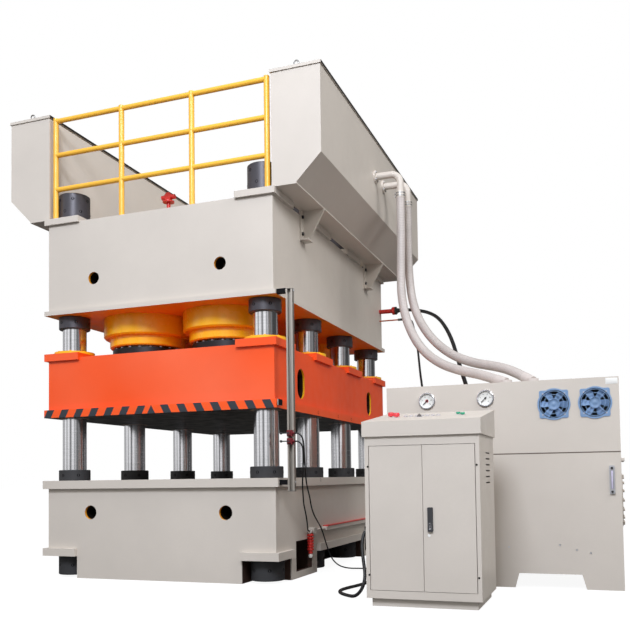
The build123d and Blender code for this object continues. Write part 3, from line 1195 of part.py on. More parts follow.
def door(left):
    """Door folded from sheet, with a bored block at each hinge corner."""
    x0, x1 = sorted(door_edges(left))
    z0, z1 = DOOR_BOTTOM + DOOR_GAP, DOOR_TOP - DOOR_GAP
    back = CONSOLE_FRONT + DOOR_THICKNESS
    panel = block(x0, x1, CONSOLE_FRONT, back, z0, z1)
    panel -= block(x0 + DOOR_SHEET, x1 - DOOR_SHEET, CONSOLE_FRONT + DOOR_SHEET, back + 1,
                   z0 + DOOR_SHEET, z1 - DOOR_SHEET)
    x, y = pivot_place(left)
    for z in (z0, z1 - PIVOT_BLOCK):
        panel += block(x - PIVOT_INSET, x + PIVOT_INSET, CONSOLE_FRONT, back, z, z + PIVOT_BLOCK)
        panel -= upright(x, y, z - 1, z + PIVOT_BLOCK + 1, PIVOT_DIAMETER + 2 * FIT)
    if left:
        return panel
    return panel - along_y(CONSOLE_LEFT + DOOR_SPLIT + HANDLE_INSET, handle_pin_z(), CONSOLE_FRONT - 1,
                           CONSOLE_FRONT + DOOR_SHEET + 1, HANDLE_PIN + 2 * FIT)


def handle_pin_z():
    """Height of the handle's pin, near the upper end of its grip."""
    return HANDLE_Z + HANDLE_LENGTH / 2 - HANDLE_WIDTH / 2


def door_handle():
    """Swing handle on the right door, with its pin through the door's skin."""
    x = CONSOLE_LEFT + DOOR_SPLIT + HANDLE_INSET
    back = CONSOLE_FRONT - CLEARANCE
    grip = block(x - HANDLE_WIDTH / 2, x + HANDLE_WIDTH / 2, back - HANDLE_DEPTH, back,
                 HANDLE_Z - HANDLE_LENGTH / 2, HANDLE_Z + HANDLE_LENGTH / 2)
    grip = fillet(grip.edges().filter_by(Axis.Y), 6)
    return grip + along_y(x, handle_pin_z(), back - 1, CONSOLE_FRONT + 2 * DOOR_SHEET, HANDLE_PIN)


def fit_route(points, start, end):
    """A route moved to run between its two fittings, with its straight ends kept straight."""
    head, tail = Vector(*start) - Vector(*points[0]), Vector(*end) - Vector(*points[-1])
    moved = []
    for index, (x, y, z) in enumerate(points):
        along = min(max((index - 1) / (len(points) - 3), 0), 1)
        drop = min(max((z - points[-1][2]) / (points[0][2] - points[-1][2]), 0), 1)
        moved.append((x + head.X * (1 - along) + tail.X * along,
                      y + head.Y * (1 - along) + tail.Y * along,
                      z + head.Z * drop + tail.Z * (1 - drop)))
    return moved


def roof_port(x, y, rise):
    """End of a hose above the power unit's roof, from its front left corner."""
    return UNIT_LEFT + x, UNIT_FRONT + y, UNIT_HEIGHT + rise


def hoses():
    """Name, route and diameter of each hose, from the press down to the power unit."""
    suction_ys = (SUCTION_Y, SUCTION_Y + SUCTION_PITCH)
    tank_ends = [(SUCTION_X, y, SUCTION_DROP) for y in suction_ys]
    return [
        ("suction_hose_front", HOSE_DIAMETER,
         fit_route(SUCTION_ROUTE_FRONT, tank_ends[0], roof_port(*FRONT_SUCTION_PORT))),
        ("suction_hose_rear", HOSE_DIAMETER,
         fit_route(SUCTION_ROUTE_REAR, tank_ends[1], roof_port(*REAR_SUCTION_PORT))),
        ("pressure_hose", PRESSURE_HOSE,
         fit_route(PRESSURE_ROUTE, (PRESSURE_END, PRESSURE_Y, PRESSURE_Z), roof_port(*PRESSURE_PORT))),
        ("pilot_hose", PILOT_HOSE,
         fit_route(PILOT_ROUTE, (PILOT_END, PRESSURE_Y, PILOT_Z), roof_port(*PILOT_PORT))),
    ]


def cables():
    """Name, route and diameter of each cable, between the glands that hold its ends."""
    gland_x = LIMIT_X + SWITCH_WIDTH / 2 + SWITCH_GLAND
    gland_y = LIMIT_Y - LIMIT_DEPTH / 2 - SWITCH_DEPTH / 2
    skirt_x = UNIT_LEFT - SKIRT_GLAND
    low, high = SWITCH_HEIGHTS
    return [
        ("upper_switch_cable", CABLE_DIAMETER,
         fit_route(UPPER_SWITCH_ROUTE, (gland_x, gland_y, high), (skirt_x, SWITCH_GLAND_Y, SWITCH_GLAND_Z))),
        ("lower_switch_cable", CABLE_DIAMETER,
         fit_route(LOWER_SWITCH_ROUTE, (gland_x, gland_y, low), (JUNCTION_X, JUNCTION_MOUTH, JUNCTION_Z))),
        ("control_cable", CONTROL_CABLE,
         fit_route(CONTROL_ROUTE, (CONSOLE_LEFT - CONSOLE_GLAND, CONSOLE_GLAND_Y, CONSOLE_GLAND_Z),
                   (skirt_x, CONTROL_GLAND_Y, CONTROL_GLAND_Z))),
    ]


def tube_along(points, diameter, name):
    """A cord's tube: straight runs joined by tangent arcs, as large as the shorter run allows."""
    corners = [Vector(*p) for p in points]
    radii = []
    for before, corner, after in zip(corners, corners[1:], corners[2:]):
        turn = (corner - before).get_angle(after - corner)
        run = min((corner - before).length, (after - corner).length)
        radii.append(0.45 * run / math.tan(math.radians(turn / 2)))
    path = FilletPolyline(*corners, radius=radii)
    section = Plane(path @ 0, z_dir=path % 0) * Circle(diameter / 2)
    tube = sweep(section, path)
    ideal = math.pi * diameter ** 2 / 4 * path.length
    print(name, "length", round(path.length), "least radius / diameter", round(min(radii) / diameter, 1),
          "volume ratio", round(tube.volume / ideal, 4))
    print("   radii", [round(r) for r in radii])
    return tube


def main():
    os.makedirs("parts", exist_ok=True)
    save("base_weldment", base_weldment())
    save("bolster_plate", bolster_plate())
    save("crown_weldment", crown_weldment())
    save("columns", *columns())
    save("base_nuts", *nuts(BOLSTER_TOP - SPOT_DEPTH, BOLSTER_NUT_HEIGHT),
         *nuts(LEDGE_BOTTOM - FOOT_NUT_HEIGHT, FOOT_NUT_HEIGHT))
    save("crown_nuts", *nuts(CROWN_PAD_TOP, TOP_NUT_HEIGHT),
         *nuts(CROWN_UNDERSIDE - CROWN_NUT_HEIGHT, CROWN_NUT_HEIGHT))
    save("cylinders", *[cylinder_unit(x, y) for x, y in CYLINDERS])
    save("rams", *[ram(x, y) for x, y in CYLINDERS])
    save("slider_weldment", slider_weldment())
    save("slider_base_plate", slider_base_plate())
    save("guide_bushes", *guide_bushes())
    save("prefill_valves", *[prefill_valve(x, y) for x, y in CYLINDERS])
    save("branch_pipes", *[branch_pipe(x, y) for x, y in CYLINDERS])
    save("crown_valve", crown_valve())
    save("left_tank", tank(-1))
    save("right_tank", tank(1))
    save("tank_lids", tank_lid(-1), tank_lid(1))
    save("tank_brackets", *tank_brackets())
    save("railings", *railing(-1), *railing(1))
    save("suction_pipes", *suction_pipes())
    save("pressure_pipe", pressure_pipe())
    save("pilot_pipe", pilot_pipe())
    save("limit_rail", limit_rail())
    save("limit_switches", *[limit_switch(z) for z in SWITCH_HEIGHTS])
    for name, z in zip(("lower", "upper"), SWITCH_HEIGHTS):
        save(f"{name}_switch_lever", switch_lever(z))
    save("slider_dog", slider_dog())
    save("cable_duct", cable_duct(), junction_box())
    save("duct_cover", duct_cover())
    save("red_conduit", red_conduit())
    save("oil_tank", oil_tank())
    save("pump_housing", pump_housing())
    save("motor_pump", motor_pump())
    save("fan_frames", *[fan_frame(x, z) for x, z in fan_centres()])
    for name, (x, z) in zip(("left", "right"), fan_centres()):
        save(f"{name}_fan_rotor", fan_rotor(x, z))
    save("gauge_cases", *[gauge_case(x, z) for x, z in gauge_centres()])
    for name, (x, z) in zip(("left", "right"), gauge_centres()):
        save(f"{name}_gauge_needle", gauge_needle(x, z))
    save("level_gauge", level_gauge())
    save("clean_out_cover", clean_out_cover())
    save("hose_stubs", *[hose_stub(route, diameter) for _, diameter, route in hoses()])
    save("console_cabinet", console_cabinet())
    save("console_desk", console_desk())
    save("left_door", door(True))
    save("right_door", door(False))
    save("door_handle", door_handle())
    count = {"stop": 0, "start": 0}
    for x, distance, kind in controls():
        if kind == "selector":
            save("selector_switch", selector_switch(x, distance))
            continue
        count[kind] += 1
        size = (STOP_DIAMETER, STOP_RISE) if kind == "stop" else (BUTTON_DIAMETER, BUTTON_RISE)
        save(f"{kind}_button_{count[kind]}", push_button(x, distance, *size))
    save("pilot_lamps", *pilot_lamps())
    for name, diameter, route in hoses() + cables():
        save(name, tube_along(route, diameter, name))


main()
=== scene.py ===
"""Looks of the eight-column hydraulic press, its power unit and its console.

Laid out as an add-on and run as a script: each group of pieces has its own
operator, and main() calls them in order. Metres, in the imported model's frame.
"""
import math

import bmesh
import bpy
from bpy.props import FloatProperty, FloatVectorProperty, PointerProperty
from mathutils import Matrix, Vector


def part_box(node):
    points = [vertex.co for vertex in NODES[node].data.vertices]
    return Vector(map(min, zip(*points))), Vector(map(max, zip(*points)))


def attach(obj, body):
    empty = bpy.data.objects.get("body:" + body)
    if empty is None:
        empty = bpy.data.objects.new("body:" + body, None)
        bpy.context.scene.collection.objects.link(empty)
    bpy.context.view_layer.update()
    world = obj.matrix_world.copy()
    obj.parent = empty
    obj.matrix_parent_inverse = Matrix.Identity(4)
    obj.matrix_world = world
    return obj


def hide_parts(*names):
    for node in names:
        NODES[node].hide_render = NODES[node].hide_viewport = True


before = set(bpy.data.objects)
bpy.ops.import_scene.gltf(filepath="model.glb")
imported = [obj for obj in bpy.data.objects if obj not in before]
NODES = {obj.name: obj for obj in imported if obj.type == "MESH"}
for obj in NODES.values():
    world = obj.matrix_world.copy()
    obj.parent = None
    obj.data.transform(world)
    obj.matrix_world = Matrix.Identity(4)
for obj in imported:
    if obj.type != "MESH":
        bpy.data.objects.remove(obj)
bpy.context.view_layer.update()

bl_info = {
    "name": "Hydraulic Press Dresser",
    "version": (1, 0, 0),
    "blender": (4, 5, 0),
    "location": "View3D > Sidebar > Press",
    "description": "Builds the looks of an eight-column hydraulic press on its packed frame",
    "category": "Object",
}

# Routes of the hoses and cables: the control points of one smooth line each
FRONT_SUCTION_ROUTE = [
    (1.776, -0.060, 3.545), (1.776, -0.060, 3.400), (1.778, -0.068, 3.150),
    (1.774, -0.088, 2.850), (1.786, -0.140, 2.545), (1.862, -0.218, 2.268),
    (2.005, -0.332, 2.018), (2.208, -0.475, 1.848), (2.430, -0.612, 1.752),
    (2.610, -0.712, 1.700), (2.745, -0.790, 1.640),
]
REAR_SUCTION_ROUTE = [
    (1.776, 0.230, 3.545), (1.776, 0.230, 3.400), (1.774, 0.222, 3.140),
    (1.786, 0.196, 2.845), (1.822, 0.148, 2.580), (1.915, 0.062, 2.345),
    (2.065, -0.075, 2.135), (2.268, -0.242, 1.958), (2.490, -0.420, 1.846),
    (2.715, -0.588, 1.780), (2.862, -0.692, 1.722), (2.968, -0.780, 1.650),
]
PRESSURE_ROUTE = [
    (1.330, 1.560, 2.800), (1.450, 1.560, 2.800), (1.590, 1.478, 2.762),
    (1.750, 1.290, 2.688), (1.905, 1.030, 2.570), (2.045, 0.730, 2.395),
    (2.165, 0.420, 2.195), (2.262, 0.110, 1.990), (2.345, -0.150, 1.812),
    (2.398, -0.305, 1.706), (2.426, -0.380, 1.640),
]
PILOT_ROUTE = [
    (1.352, 1.560, 2.690), (1.430, 1.560, 2.690), (1.498, 1.480, 2.658),
    (1.556, 1.310, 2.586), (1.622, 1.085, 2.475), (1.690, 0.840, 2.362),
    (1.758, 0.590, 2.252), (1.824, 0.345, 2.142), (1.886, 0.105, 2.025),
    (1.944, -0.120, 1.900), (1.996, -0.315, 1.778), (2.034, -0.445, 1.690),
    (2.052, -0.505, 1.640),
]
UPPER_SWITCH_ROUTE = [
    (1.276, -1.653, 1.203), (1.298, -1.653, 1.203), (1.320, -1.649, 1.192),
    (1.333, -1.637, 1.171), (1.336, -1.617, 1.138), (1.328, -1.584, 1.085),
    (1.311, -1.534, 1.010), (1.288, -1.465, 0.928), (1.264, -1.386, 0.846),
    (1.240, -1.292, 0.765), (1.222, -1.190, 0.690), (1.208, -1.120, 0.600),
    (1.194, -1.010, 0.520), (1.184, -0.885, 0.455), (1.178, -0.775, 0.385),
    (1.174, -0.690, 0.295), (1.176, -0.615, 0.195), (1.192, -0.550, 0.100),
    (1.235, -0.490, 0.036), (1.310, -0.440, 0.008), (1.420, -0.405, 0.007),
    (1.545, -0.408, 0.007), (1.665, -0.450, 0.007), (1.765, -0.512, 0.012),
    (1.832, -0.550, 0.038), (1.872, -0.560, 0.060), (1.900, -0.560, 0.060),
]
LOWER_SWITCH_ROUTE = [
    (1.276, -1.653, 1.139), (1.298, -1.653, 1.139), (1.319, -1.649, 1.128),
    (1.331, -1.638, 1.108), (1.333, -1.619, 1.075), (1.323, -1.587, 1.020),
    (1.301, -1.540, 0.944), (1.274, -1.482, 0.866), (1.248, -1.423, 0.786),
    (1.226, -1.355, 0.705), (1.202, -1.280, 0.628), (1.180, -1.185, 0.560),
    (1.158, -1.095, 0.482), (1.139, -1.030, 0.414), (1.125, -0.980, 0.383),
    (1.125, -0.945, 0.383),
]
CONTROL_ROUTE = [
    (2.047, -1.960, 0.500), (2.003, -1.960, 0.500), (1.957, -1.968, 0.478),
    (1.930, -1.990, 0.436), (1.930, -2.024, 0.362), (1.952, -2.074, 0.270),
    (1.982, -2.130, 0.180), (1.985, -2.160, 0.122), (1.968, -2.169, 0.072),
    (1.936, -2.160, 0.035), (1.897, -2.136, 0.015), (1.838, -2.086, 0.013),
    (1.774, -2.018, 0.013), (1.722, -1.932, 0.013), (1.702, -1.825, 0.013),
    (1.722, -1.690, 0.013), (1.758, -1.540, 0.013), (1.778, -1.385, 0.014),
    (1.773, -1.240, 0.020), (1.758, -1.120, 0.042), (1.757, -1.020, 0.074),
    (1.776, -0.955, 0.088), (1.813, -0.916, 0.090), (1.856, -0.900, 0.090),
    (1.900, -0.900, 0.090),
]


class Box:
    """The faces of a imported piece's box, and its middle."""

    def __init__(self, node):
        low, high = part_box(node)
        self.left, self.front, self.foot = low
        self.right, self.back, self.top = high
        self.middle = (Vector(low) + Vector(high)) / 2


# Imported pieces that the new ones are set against
BASE = Box("base_weldment")
BOLSTER = Box("bolster_plate")
CROWN = Box("crown_weldment")
PLATE = Box("slider_base_plate")
RAMS = Box("rams")
RAIL = Box("limit_rail")
DOG = Box("slider_dog")
CONDUIT = Box("red_conduit")
VALVE = Box("crown_valve")
SLIDER_TOP = Box("slider_weldment").top
TANK = Box("right_tank")
LIDS = Box("tank_lids")
UNIT = Box("pump_housing")
FANS = Box("fan_frames")
DIALS = Box("gauge_cases")
LEVEL = Box("level_gauge")
CABINET = Box("console_cabinet")
DESK = Box("console_desk")
LEFT_DOOR = Box("left_door")
RIGHT_DOOR = Box("right_door")
HANDLE = Box("door_handle")
BODY_SIDE = Box("cable_duct").left
BODY_FRONT = TANK.front

COLUMN_RADIUS = 0.105
COLUMN_PITCH = 0.975
COLUMN_X = Box("columns").right - COLUMN_RADIUS
COLUMNS = [(side * COLUMN_X, (row - 1.5) * COLUMN_PITCH) for side in (-1, 1) for row in range(4)]
NUT_RADIUS = Box("base_nuts").right - COLUMN_X
RAM_FOOT_RADIUS = 0.320
RAM_FOOT_TOP = RAMS.foot + 0.098
CYLINDERS = [(side * (RAMS.right - RAM_FOOT_RADIUS), end * (RAMS.back - RAM_FOOT_RADIUS))
             for side in (-1, 1) for end in (-1, 1)]

UP, DOWN, LEFT, RIGHT, TO_FRONT = (0, 0, 1), (0, 0, -1), (-1, 0, 0), (1, 0, 0), (0, -1, 0)
AXIS_TURN = {"X": (0, math.pi / 2, 0), "Y": (math.pi / 2, 0, 0), "Z": (0, 0, 0)}


def shade(red, green, blue):
    """The linear colour of a 0-255 screen colour."""
    def linear(value):
        value /= 255
        return value / 12.92 if value <= 0.04045 else ((value + 0.055) / 1.055) ** 2.4
    return linear(red), linear(green), linear(blue)


def colour_property(label, description, red, green, blue):
    return FloatVectorProperty(name=label, description=description, subtype="COLOR", size=3,
                               min=0.0, max=1.0, default=shade(red, green, blue))


def length_property(label, description, metres):
    return FloatProperty(name=label, description=description, subtype="DISTANCE",
                         unit="LENGTH", min=0.0, default=metres)


class PressColours(bpy.types.PropertyGroup):
    """Colours of the paints, plastics and rubber."""
    body: colour_property("Body", "Paint of the frame, tanks and cabinets", 209, 201, 192)
    slider: colour_property("Slider", "Orange-red paint of the slider", 254, 84, 20)
    yellow: colour_property("Yellow", "Paint of the cylinders and bushes", 255, 190, 26)
    rails: colour_property("Rails", "Lighter yellow of the railings", 252, 190, 66)
    primer: colour_property("Primer", "Orange paint under the crown", 250, 160, 44)
    red: colour_property("Red", "Paint of the duct cover and oil pipe", 205, 48, 42)
    fan: colour_property("Fan", "Blue plastic of the cooling fans", 126, 157, 196)
    hose: colour_property("Hose", "Grey plastic of the suction hoses", 201, 193, 189)
    rubber: colour_property("Rubber", "Black rubber of hoses and cables", 24, 24, 26)


class PressSizes(bpy.types.PropertyGroup):
    """Sizes of the small pieces."""
    stripe: length_property("Stripe", "Width of a hazard stripe", 0.074)
    stripe_pitch: length_property("Stripe Pitch", "Distance between hazard stripes", 0.1565)
    stripe_lean: length_property("Stripe Lean", "How far a stripe leans over its height", 0.036)
    hole: length_property("Spanner Hole", "Radius of the spanner holes in the nuts", 0.0135)
    rib_pitch: length_property("Rib Pitch", "Distance between the suction hose's ribs", 0.016)


class StageSettings(bpy.types.PropertyGroup):
    """Light and camera."""
    lens: FloatProperty(name="Lens", description="Focal length in millimetres", default=45.42)
    rise: FloatProperty(name="Rise", description="Vertical shift of the lens", default=0.2035)
    key: FloatProperty(name="Key", description="Power of the front light in watts", default=685.0)
    side: FloatProperty(name="Side", description="Power of the right light in watts", default=325.0)
    fill: FloatProperty(name="Fill", description="Strength of the room light", default=0.66)


# Modelling by hand, in code

def clear_selection():
    if bpy.context.object and bpy.context.object.mode != "OBJECT":
        bpy.ops.object.mode_set(mode="OBJECT")
    bpy.ops.object.select_all(action="DESELECT")


def pick(piece):
    """Makes the piece the selected and active object."""
    clear_selection()
    piece.select_set(True)
    bpy.context.view_layer.objects.active = piece


def settle(name):
    """Names the active object and puts its place into its mesh."""
    piece = bpy.context.object
    piece.name = piece.data.name = name
    bpy.ops.object.transform_apply(location=True, rotation=True, scale=True)
    return piece


def round_stock(name, centre, radius, depth, axis="Z", sides=32):
    clear_selection()
    bpy.ops.mesh.primitive_cylinder_add(vertices=sides, radius=radius, depth=depth,
                                        location=centre, rotation=AXIS_TURN[axis])
    return settle(name)


def flat_stock(name, low, high):
    clear_selection()
    low, high = Vector(low), Vector(high)
    bpy.ops.mesh.primitive_cube_add(size=1, location=(low + high) / 2, scale=high - low)
    return settle(name)


def choose(piece, kind, test):
    """Selects, in edit mode, the faces, edges or vertices that pass the test."""
    if piece.mode != "EDIT":
        pick(piece)
        bpy.ops.object.mode_set(mode="EDIT")
    bpy.ops.mesh.select_mode(type=kind)
    bpy.ops.mesh.select_all(action="DESELECT")
    mesh = bmesh.from_edit_mesh(piece.data)
    parts = {"FACE": mesh.faces, "EDGE": mesh.edges, "VERT": mesh.verts}[kind]
    for part in parts:
        part.select = bool(test(part))
    mesh.select_flush_mode()
    bmesh.update_edit_mesh(piece.data)


def facing(direction, least=0.9):
    """A test for faces that look along the direction."""
    direction = Vector(direction)
    return lambda face: face.normal.dot(direction) > least


def step(piece, direction, *cuts):
    """Insets the faces that look along the direction, once for each (rim, rise)."""
    choose(piece, "FACE", facing(direction))
    for rim, rise in cuts:
        bpy.ops.mesh.inset(thickness=rim, depth=rise)
    clear_selection()


def soften(piece, width, segments=2, angle=40):
    """Rounds the piece's sharp edges."""
    pick(piece)
    bevel = piece.modifiers.new("Soft edges", "BEVEL")
    bevel.width = width
    bevel.segments = segments
    bevel.limit_method = "ANGLE"
    bevel.angle_limit = math.radians(angle)
    bpy.ops.object.modifier_apply(modifier=bevel.name)


def join(name, pieces):
    clear_selection()
    for piece in pieces:
        piece.select_set(True)
    bpy.context.view_layer.objects.active = pieces[0]
    if len(pieces) > 1:
        bpy.ops.object.join()
    pieces[0].name = pieces[0].data.name = name
    return pieces[0]


def spread(pattern, name, places):
    """Copies a piece, modelled at the origin, to each place and joins the copies."""
    copies = []
    for place in places:
        copy = pattern.copy()
        copy.data = pattern.data.copy()
        copy.data.transform(place)
        bpy.context.scene.collection.objects.link(copy)
        copies.append(copy)
    bpy.data.objects.remove(pattern)
    return join(name, copies)


def towards(point, direction):
    """The place of a piece whose +Z is turned to the direction."""
    turn = Vector(direction).to_track_quat("Z", "Y").to_matrix().to_4x4()
    return Matrix.Translation(point) @ turn


def ring_places(centre, radius, count, direction=UP, start=0.0):
    """Places spaced round a centre, all looking along the direction."""
    base = towards(centre, direction)
    places = []
    for index in range(count):
        angle = start + 2 * math.pi * index / count
        offset = Matrix.Translation((radius * math.cos(angle), radius * math.sin(angle), 0))
        places.append(base @ offset)
    return places


def dress(piece, material, body, angle=35):
    """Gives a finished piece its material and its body."""
    pick(piece)
    bpy.ops.object.shade_smooth_by_angle(angle=math.radians(angle))
    piece.data.materials.clear()
    piece.data.materials.append(finish_named(material))
    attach(piece, body)
    clear_selection()
    return piece


def screw_pattern(radius, height, sides=6):
    """A hexagon or socket head standing on z = 0."""
    screw = round_stock("screw", (0, 0, height / 2), radius=radius, depth=height, sides=sides)
    if sides == 6:
        step(screw, UP, (radius * 0.12, radius * 0.06))
    else:
        step(screw, UP, (radius * 0.1, 0), (radius * 0.36, 0), (0.0001, -height * 0.5))
    soften(screw, radius * 0.06, 1)
    return screw


# Finishes

def add_node(tree, kind, inputs=None, **settings):
    """Adds a node to the tree; an input is a value, or the socket that it is linked to."""
    made = tree.nodes.new(kind)
    for key, value in settings.items():
        setattr(made, key, value)
    for key, value in (inputs or {}).items():
        if isinstance(value, bpy.types.NodeSocket):
            tree.links.new(value, made.inputs[key])
        else:
            made.inputs[key].default_value = value
    return made


class Finish:
    """A node material under construction."""

    def __init__(self, name):
        self.material = bpy.data.materials.new(name)
        self.material.use_nodes = True
        self.tree = self.material.node_tree
        self.shader = self.tree.nodes["Principled BSDF"]
        place = self.node("ShaderNodeTexCoord")
        self.place = place.outputs["Object"]
        self.normal = place.outputs["Normal"]
        self.x, self.y, self.z = self.split(self.place)

    def node(self, kind, inputs=None, **settings):
        return add_node(self.tree, kind, inputs, **settings)

    def split(self, vector):
        return tuple(self.node("ShaderNodeSeparateXYZ", {0: vector}).outputs)

    def maths(self, operation, first, second=0.0, third=0.0):
        return self.node("ShaderNodeMath", {0: first, 1: second, 2: third},
                         operation=operation).outputs[0]

    def below(self, value, limit):
        return self.maths("LESS_THAN", value, limit)

    def above(self, value, limit):
        return self.maths("GREATER_THAN", value, limit)

    def absolute(self, value):
        return self.maths("ABSOLUTE", value)

    def facing_down(self):
        """1 on faces that look down, else 0."""
        return self.below(self.split(self.normal)[2], -0.9)

    def between(self, value, low, high):
        """1 where low < value < high, else 0."""
        return self.maths("COMPARE", value, (low + high) / 2, (high - low) / 2)

    def both(self, *masks):
        result = masks[0]
        for mask in masks[1:]:
            result = self.maths("MULTIPLY", result, mask)
        return result

    def stretch(self, scale):
        return self.node("ShaderNodeMapping", {0: self.place, "Scale": scale}).outputs[0]

    def noise(self, scale, detail=3.0, roughness=0.5, vector=None):
        return self.node("ShaderNodeTexNoise",
                         {"Vector": vector or self.place, "Scale": scale, "Detail": detail,
                          "Roughness": roughness}).outputs[0]

    def ramp(self, value, low, high):
        """Remaps 0.3-0.7, where noise mostly lies, to low-high."""
        return self.node("ShaderNodeMapRange",
                         {0: value, 1: 0.3, 2: 0.7, 3: low, 4: high}).outputs[0]

    def mix(self, mask, first, second):
        """Blends two colours, each a socket or an rgb tuple."""
        def full(colour):
            return colour if isinstance(colour, bpy.types.NodeSocket) else (*colour, 1.0)
        return self.node("ShaderNodeMix", {0: mask, 6: full(first), 7: full(second)},
                         data_type="RGBA").outputs[2]

    def bump(self, height, strength, distance):
        bump = self.node("ShaderNodeBump",
                         {"Height": height, "Strength": strength, "Distance": distance})
        self.tree.links.new(bump.outputs[0], self.shader.inputs["Normal"])

    def done(self, colour, roughness, metallic=0.0):
        """Sets the shader: colour from a socket, roughness from a socket or a number."""
        self.tree.links.new(colour, self.shader.inputs["Base Color"])
        if isinstance(roughness, bpy.types.NodeSocket):
            self.tree.links.new(roughness, self.shader.inputs["Roughness"])
        else:
            self.shader.inputs["Roughness"].default_value = roughness
        self.shader.inputs["Metallic"].default_value = metallic
        return self.material


def lighter(colour, factor):
    return tuple(min(1.0, value * factor) for value in colour)


def paint(name, colour, masks=None, gloss=0.42):
    """Sprayed enamel: soft mottling, fine specks and orange peel.

    masks(finish) gives (mask, colour) pairs painted over the base colour.
    """
    finish = Finish(name)
    mottle = 0.045
    cloud = finish.ramp(finish.noise(1.7, 5.0, 0.55), 0.0, 1.0)
    base = finish.mix(cloud, lighter(colour, 1 - mottle), lighter(colour, 1 + mottle))
    speck = finish.ramp(finish.noise(60.0, 2.0), 0.0, 0.35)
    base = finish.mix(speck, base, lighter(colour, 0.985))
    if masks:
        for mask, second in masks(finish):
            mottled = finish.mix(cloud, lighter(second, 1 - 2 * mottle), lighter(second, 1 + mottle))
            base = finish.mix(mask, base, mottled)
    roughness = finish.ramp(finish.noise(9.0, 4.0), gloss - 0.06, gloss + 0.08)
    finish.bump(finish.noise(420.0, 2.0), 0.12, 0.0004)
    return finish.done(base, roughness)


def plastic(name, colour, gloss=0.35, grain=900.0):
    finish = Finish(name)
    tint = finish.mix(finish.ramp(finish.noise(24.0, 4.0), 0.0, 1.0),
                      lighter(colour, 0.93), lighter(colour, 1.05))
    finish.bump(finish.noise(grain, 2.0), 0.08, 0.0003)
    return finish.done(tint, finish.ramp(finish.noise(30.0), gloss - 0.05, gloss + 0.07))


def metal(name, colour, gloss, streaks, depth=0.05, metallic=1.0):
    """Machined metal whose fine marks run along the axis with the smallest scale."""
    finish = Finish(name)
    lines = finish.noise(1.0, 5.0, 0.6, finish.stretch(streaks))
    tint = finish.mix(finish.ramp(lines, 0.0, 1.0), lighter(colour, 0.86), lighter(colour, 1.08))
    finish.bump(lines, depth, 0.0003)
    return finish.done(tint, finish.ramp(lines, gloss - 0.05, gloss + 0.08), metallic=metallic)


# Lifting-pin sockets: distance from the middle, height and radius
CROWN_SOCKETS = (0.621, 2.635, 0.0556)
BASE_SOCKETS = (0.655, 0.573, 0.0606)
SOCKET_MOUTH = 0.026


def socket_masks(finish, across, height, radius):
    """The yellow mouths and the unlit depths of the two lifting-pin sockets."""
    reach = finish.maths("SUBTRACT", finish.absolute(finish.x), across)
    drop = finish.maths("SUBTRACT", finish.z, height)
    distance = finish.maths("SQRT", finish.maths("MULTIPLY_ADD", reach, reach,
                                                 finish.maths("MULTIPLY", drop, drop)))
    near = finish.below(distance, radius)
    out = finish.absolute(finish.y)
    rim = -BODY_FRONT - 0.0005
    mouth = -BODY_FRONT - SOCKET_MOUTH
    return [(finish.both(near, finish.below(out, mouth)), shade(24, 17, 14)),
            (finish.both(near, finish.between(out, mouth, rim)), shade(240, 164, 44))]


def enamel_crown(name, colours):
    """Frame paint, with orange primer under the crown, and its two pin sockets."""
    def masks(finish):
        low = finish.between(finish.z, CROWN.foot - 0.082, CROWN.foot + 0.008)
        return [(finish.both(finish.facing_down(), low), colours.primer),
                *socket_masks(finish, *CROWN_SOCKETS)]
    return paint(name, colours.body, masks)


def enamel_base(name, colours):
    """Frame paint, with primer darkened by painted shade inside the base, painted shade under its
    ledges, and two pin sockets.
    """
    def masks(finish):
        skin = 0.010
        wide, far = finish.absolute(finish.x), finish.absolute(finish.y)
        inside = finish.both(finish.below(wide, BODY_SIDE - skin),
                             finish.below(far, -BODY_FRONT - skin),
                             finish.below(finish.z, BASE.top - skin))
        # Painted shade: dark brown primer inside the base, and dark brown on every face that looks
        # down.
        return [(inside, shade(78, 58, 50)), (finish.facing_down(), shade(70, 56, 50)),
                *socket_masks(finish, *BASE_SOCKETS)]
    return paint(name, colours.body, masks)


# Side windows of the slider: distance from the middle, half their width, foot and top
WINDOW_Y, WINDOW_HALF = 1.045, 0.0885
WINDOW_FOOT, WINDOW_TOP = 1.530, 1.803


def enamel_slider(name, colours):
    """Orange-red paint with a painted pinkish sheen in front, primer darkened with painted shade in its
    cells, and yellow rims in the side windows.
    """
    def masks(finish):
        wide, far = finish.absolute(finish.x), finish.absolute(finish.y)
        wall = BODY_SIDE - 0.016
        # Painted shade: the primer inside the slider's cells is painted near-black brown.
        inside = finish.both(finish.below(wide, wall), finish.below(far, -BODY_FRONT - 0.035),
                             finish.between(finish.z, PLATE.top + 0.018, RAMS.foot - 0.015))
        rim = finish.both(finish.between(wide, wall, BODY_SIDE - 0.0007),
                          finish.between(far, WINDOW_Y - WINDOW_HALF, WINDOW_Y + WINDOW_HALF),
                          finish.between(finish.z, WINDOW_FOOT, WINDOW_TOP))
        front = finish.below(finish.split(finish.normal)[1], -0.5)
        # Painted sheen: a pale pink cloud over the faces that look to the front.
        painted_sheen = finish.both(front, finish.ramp(finish.noise(0.75, 2.0, 0.4), -0.15, 0.42))
        return [(finish.maths("MAXIMUM", painted_sheen, 0.0), shade(254, 132, 98)),
                (inside, shade(44, 26, 22)), (rim, colours.yellow)]
    return paint(name, colours.slider, masks, gloss=0.36)


def enamel_plate(name, colours):
    """Orange-red paint, with painted shade under it: a near-black underside with its shine turned down.
    """
    def masks(finish):
        # Painted shade: faces that look down are near black and almost without shine.
        down = finish.facing_down()
        dull = finish.maths("MULTIPLY_ADD", down, -0.47, 0.5)
        finish.tree.links.new(dull, finish.shader.inputs["Specular IOR Level"])
        return [(down, shade(23, 21, 21))]
    return paint(name, lighter(colours.slider, 1.12), masks, gloss=0.36)


CHROME = (0.80, 0.80, 0.83)


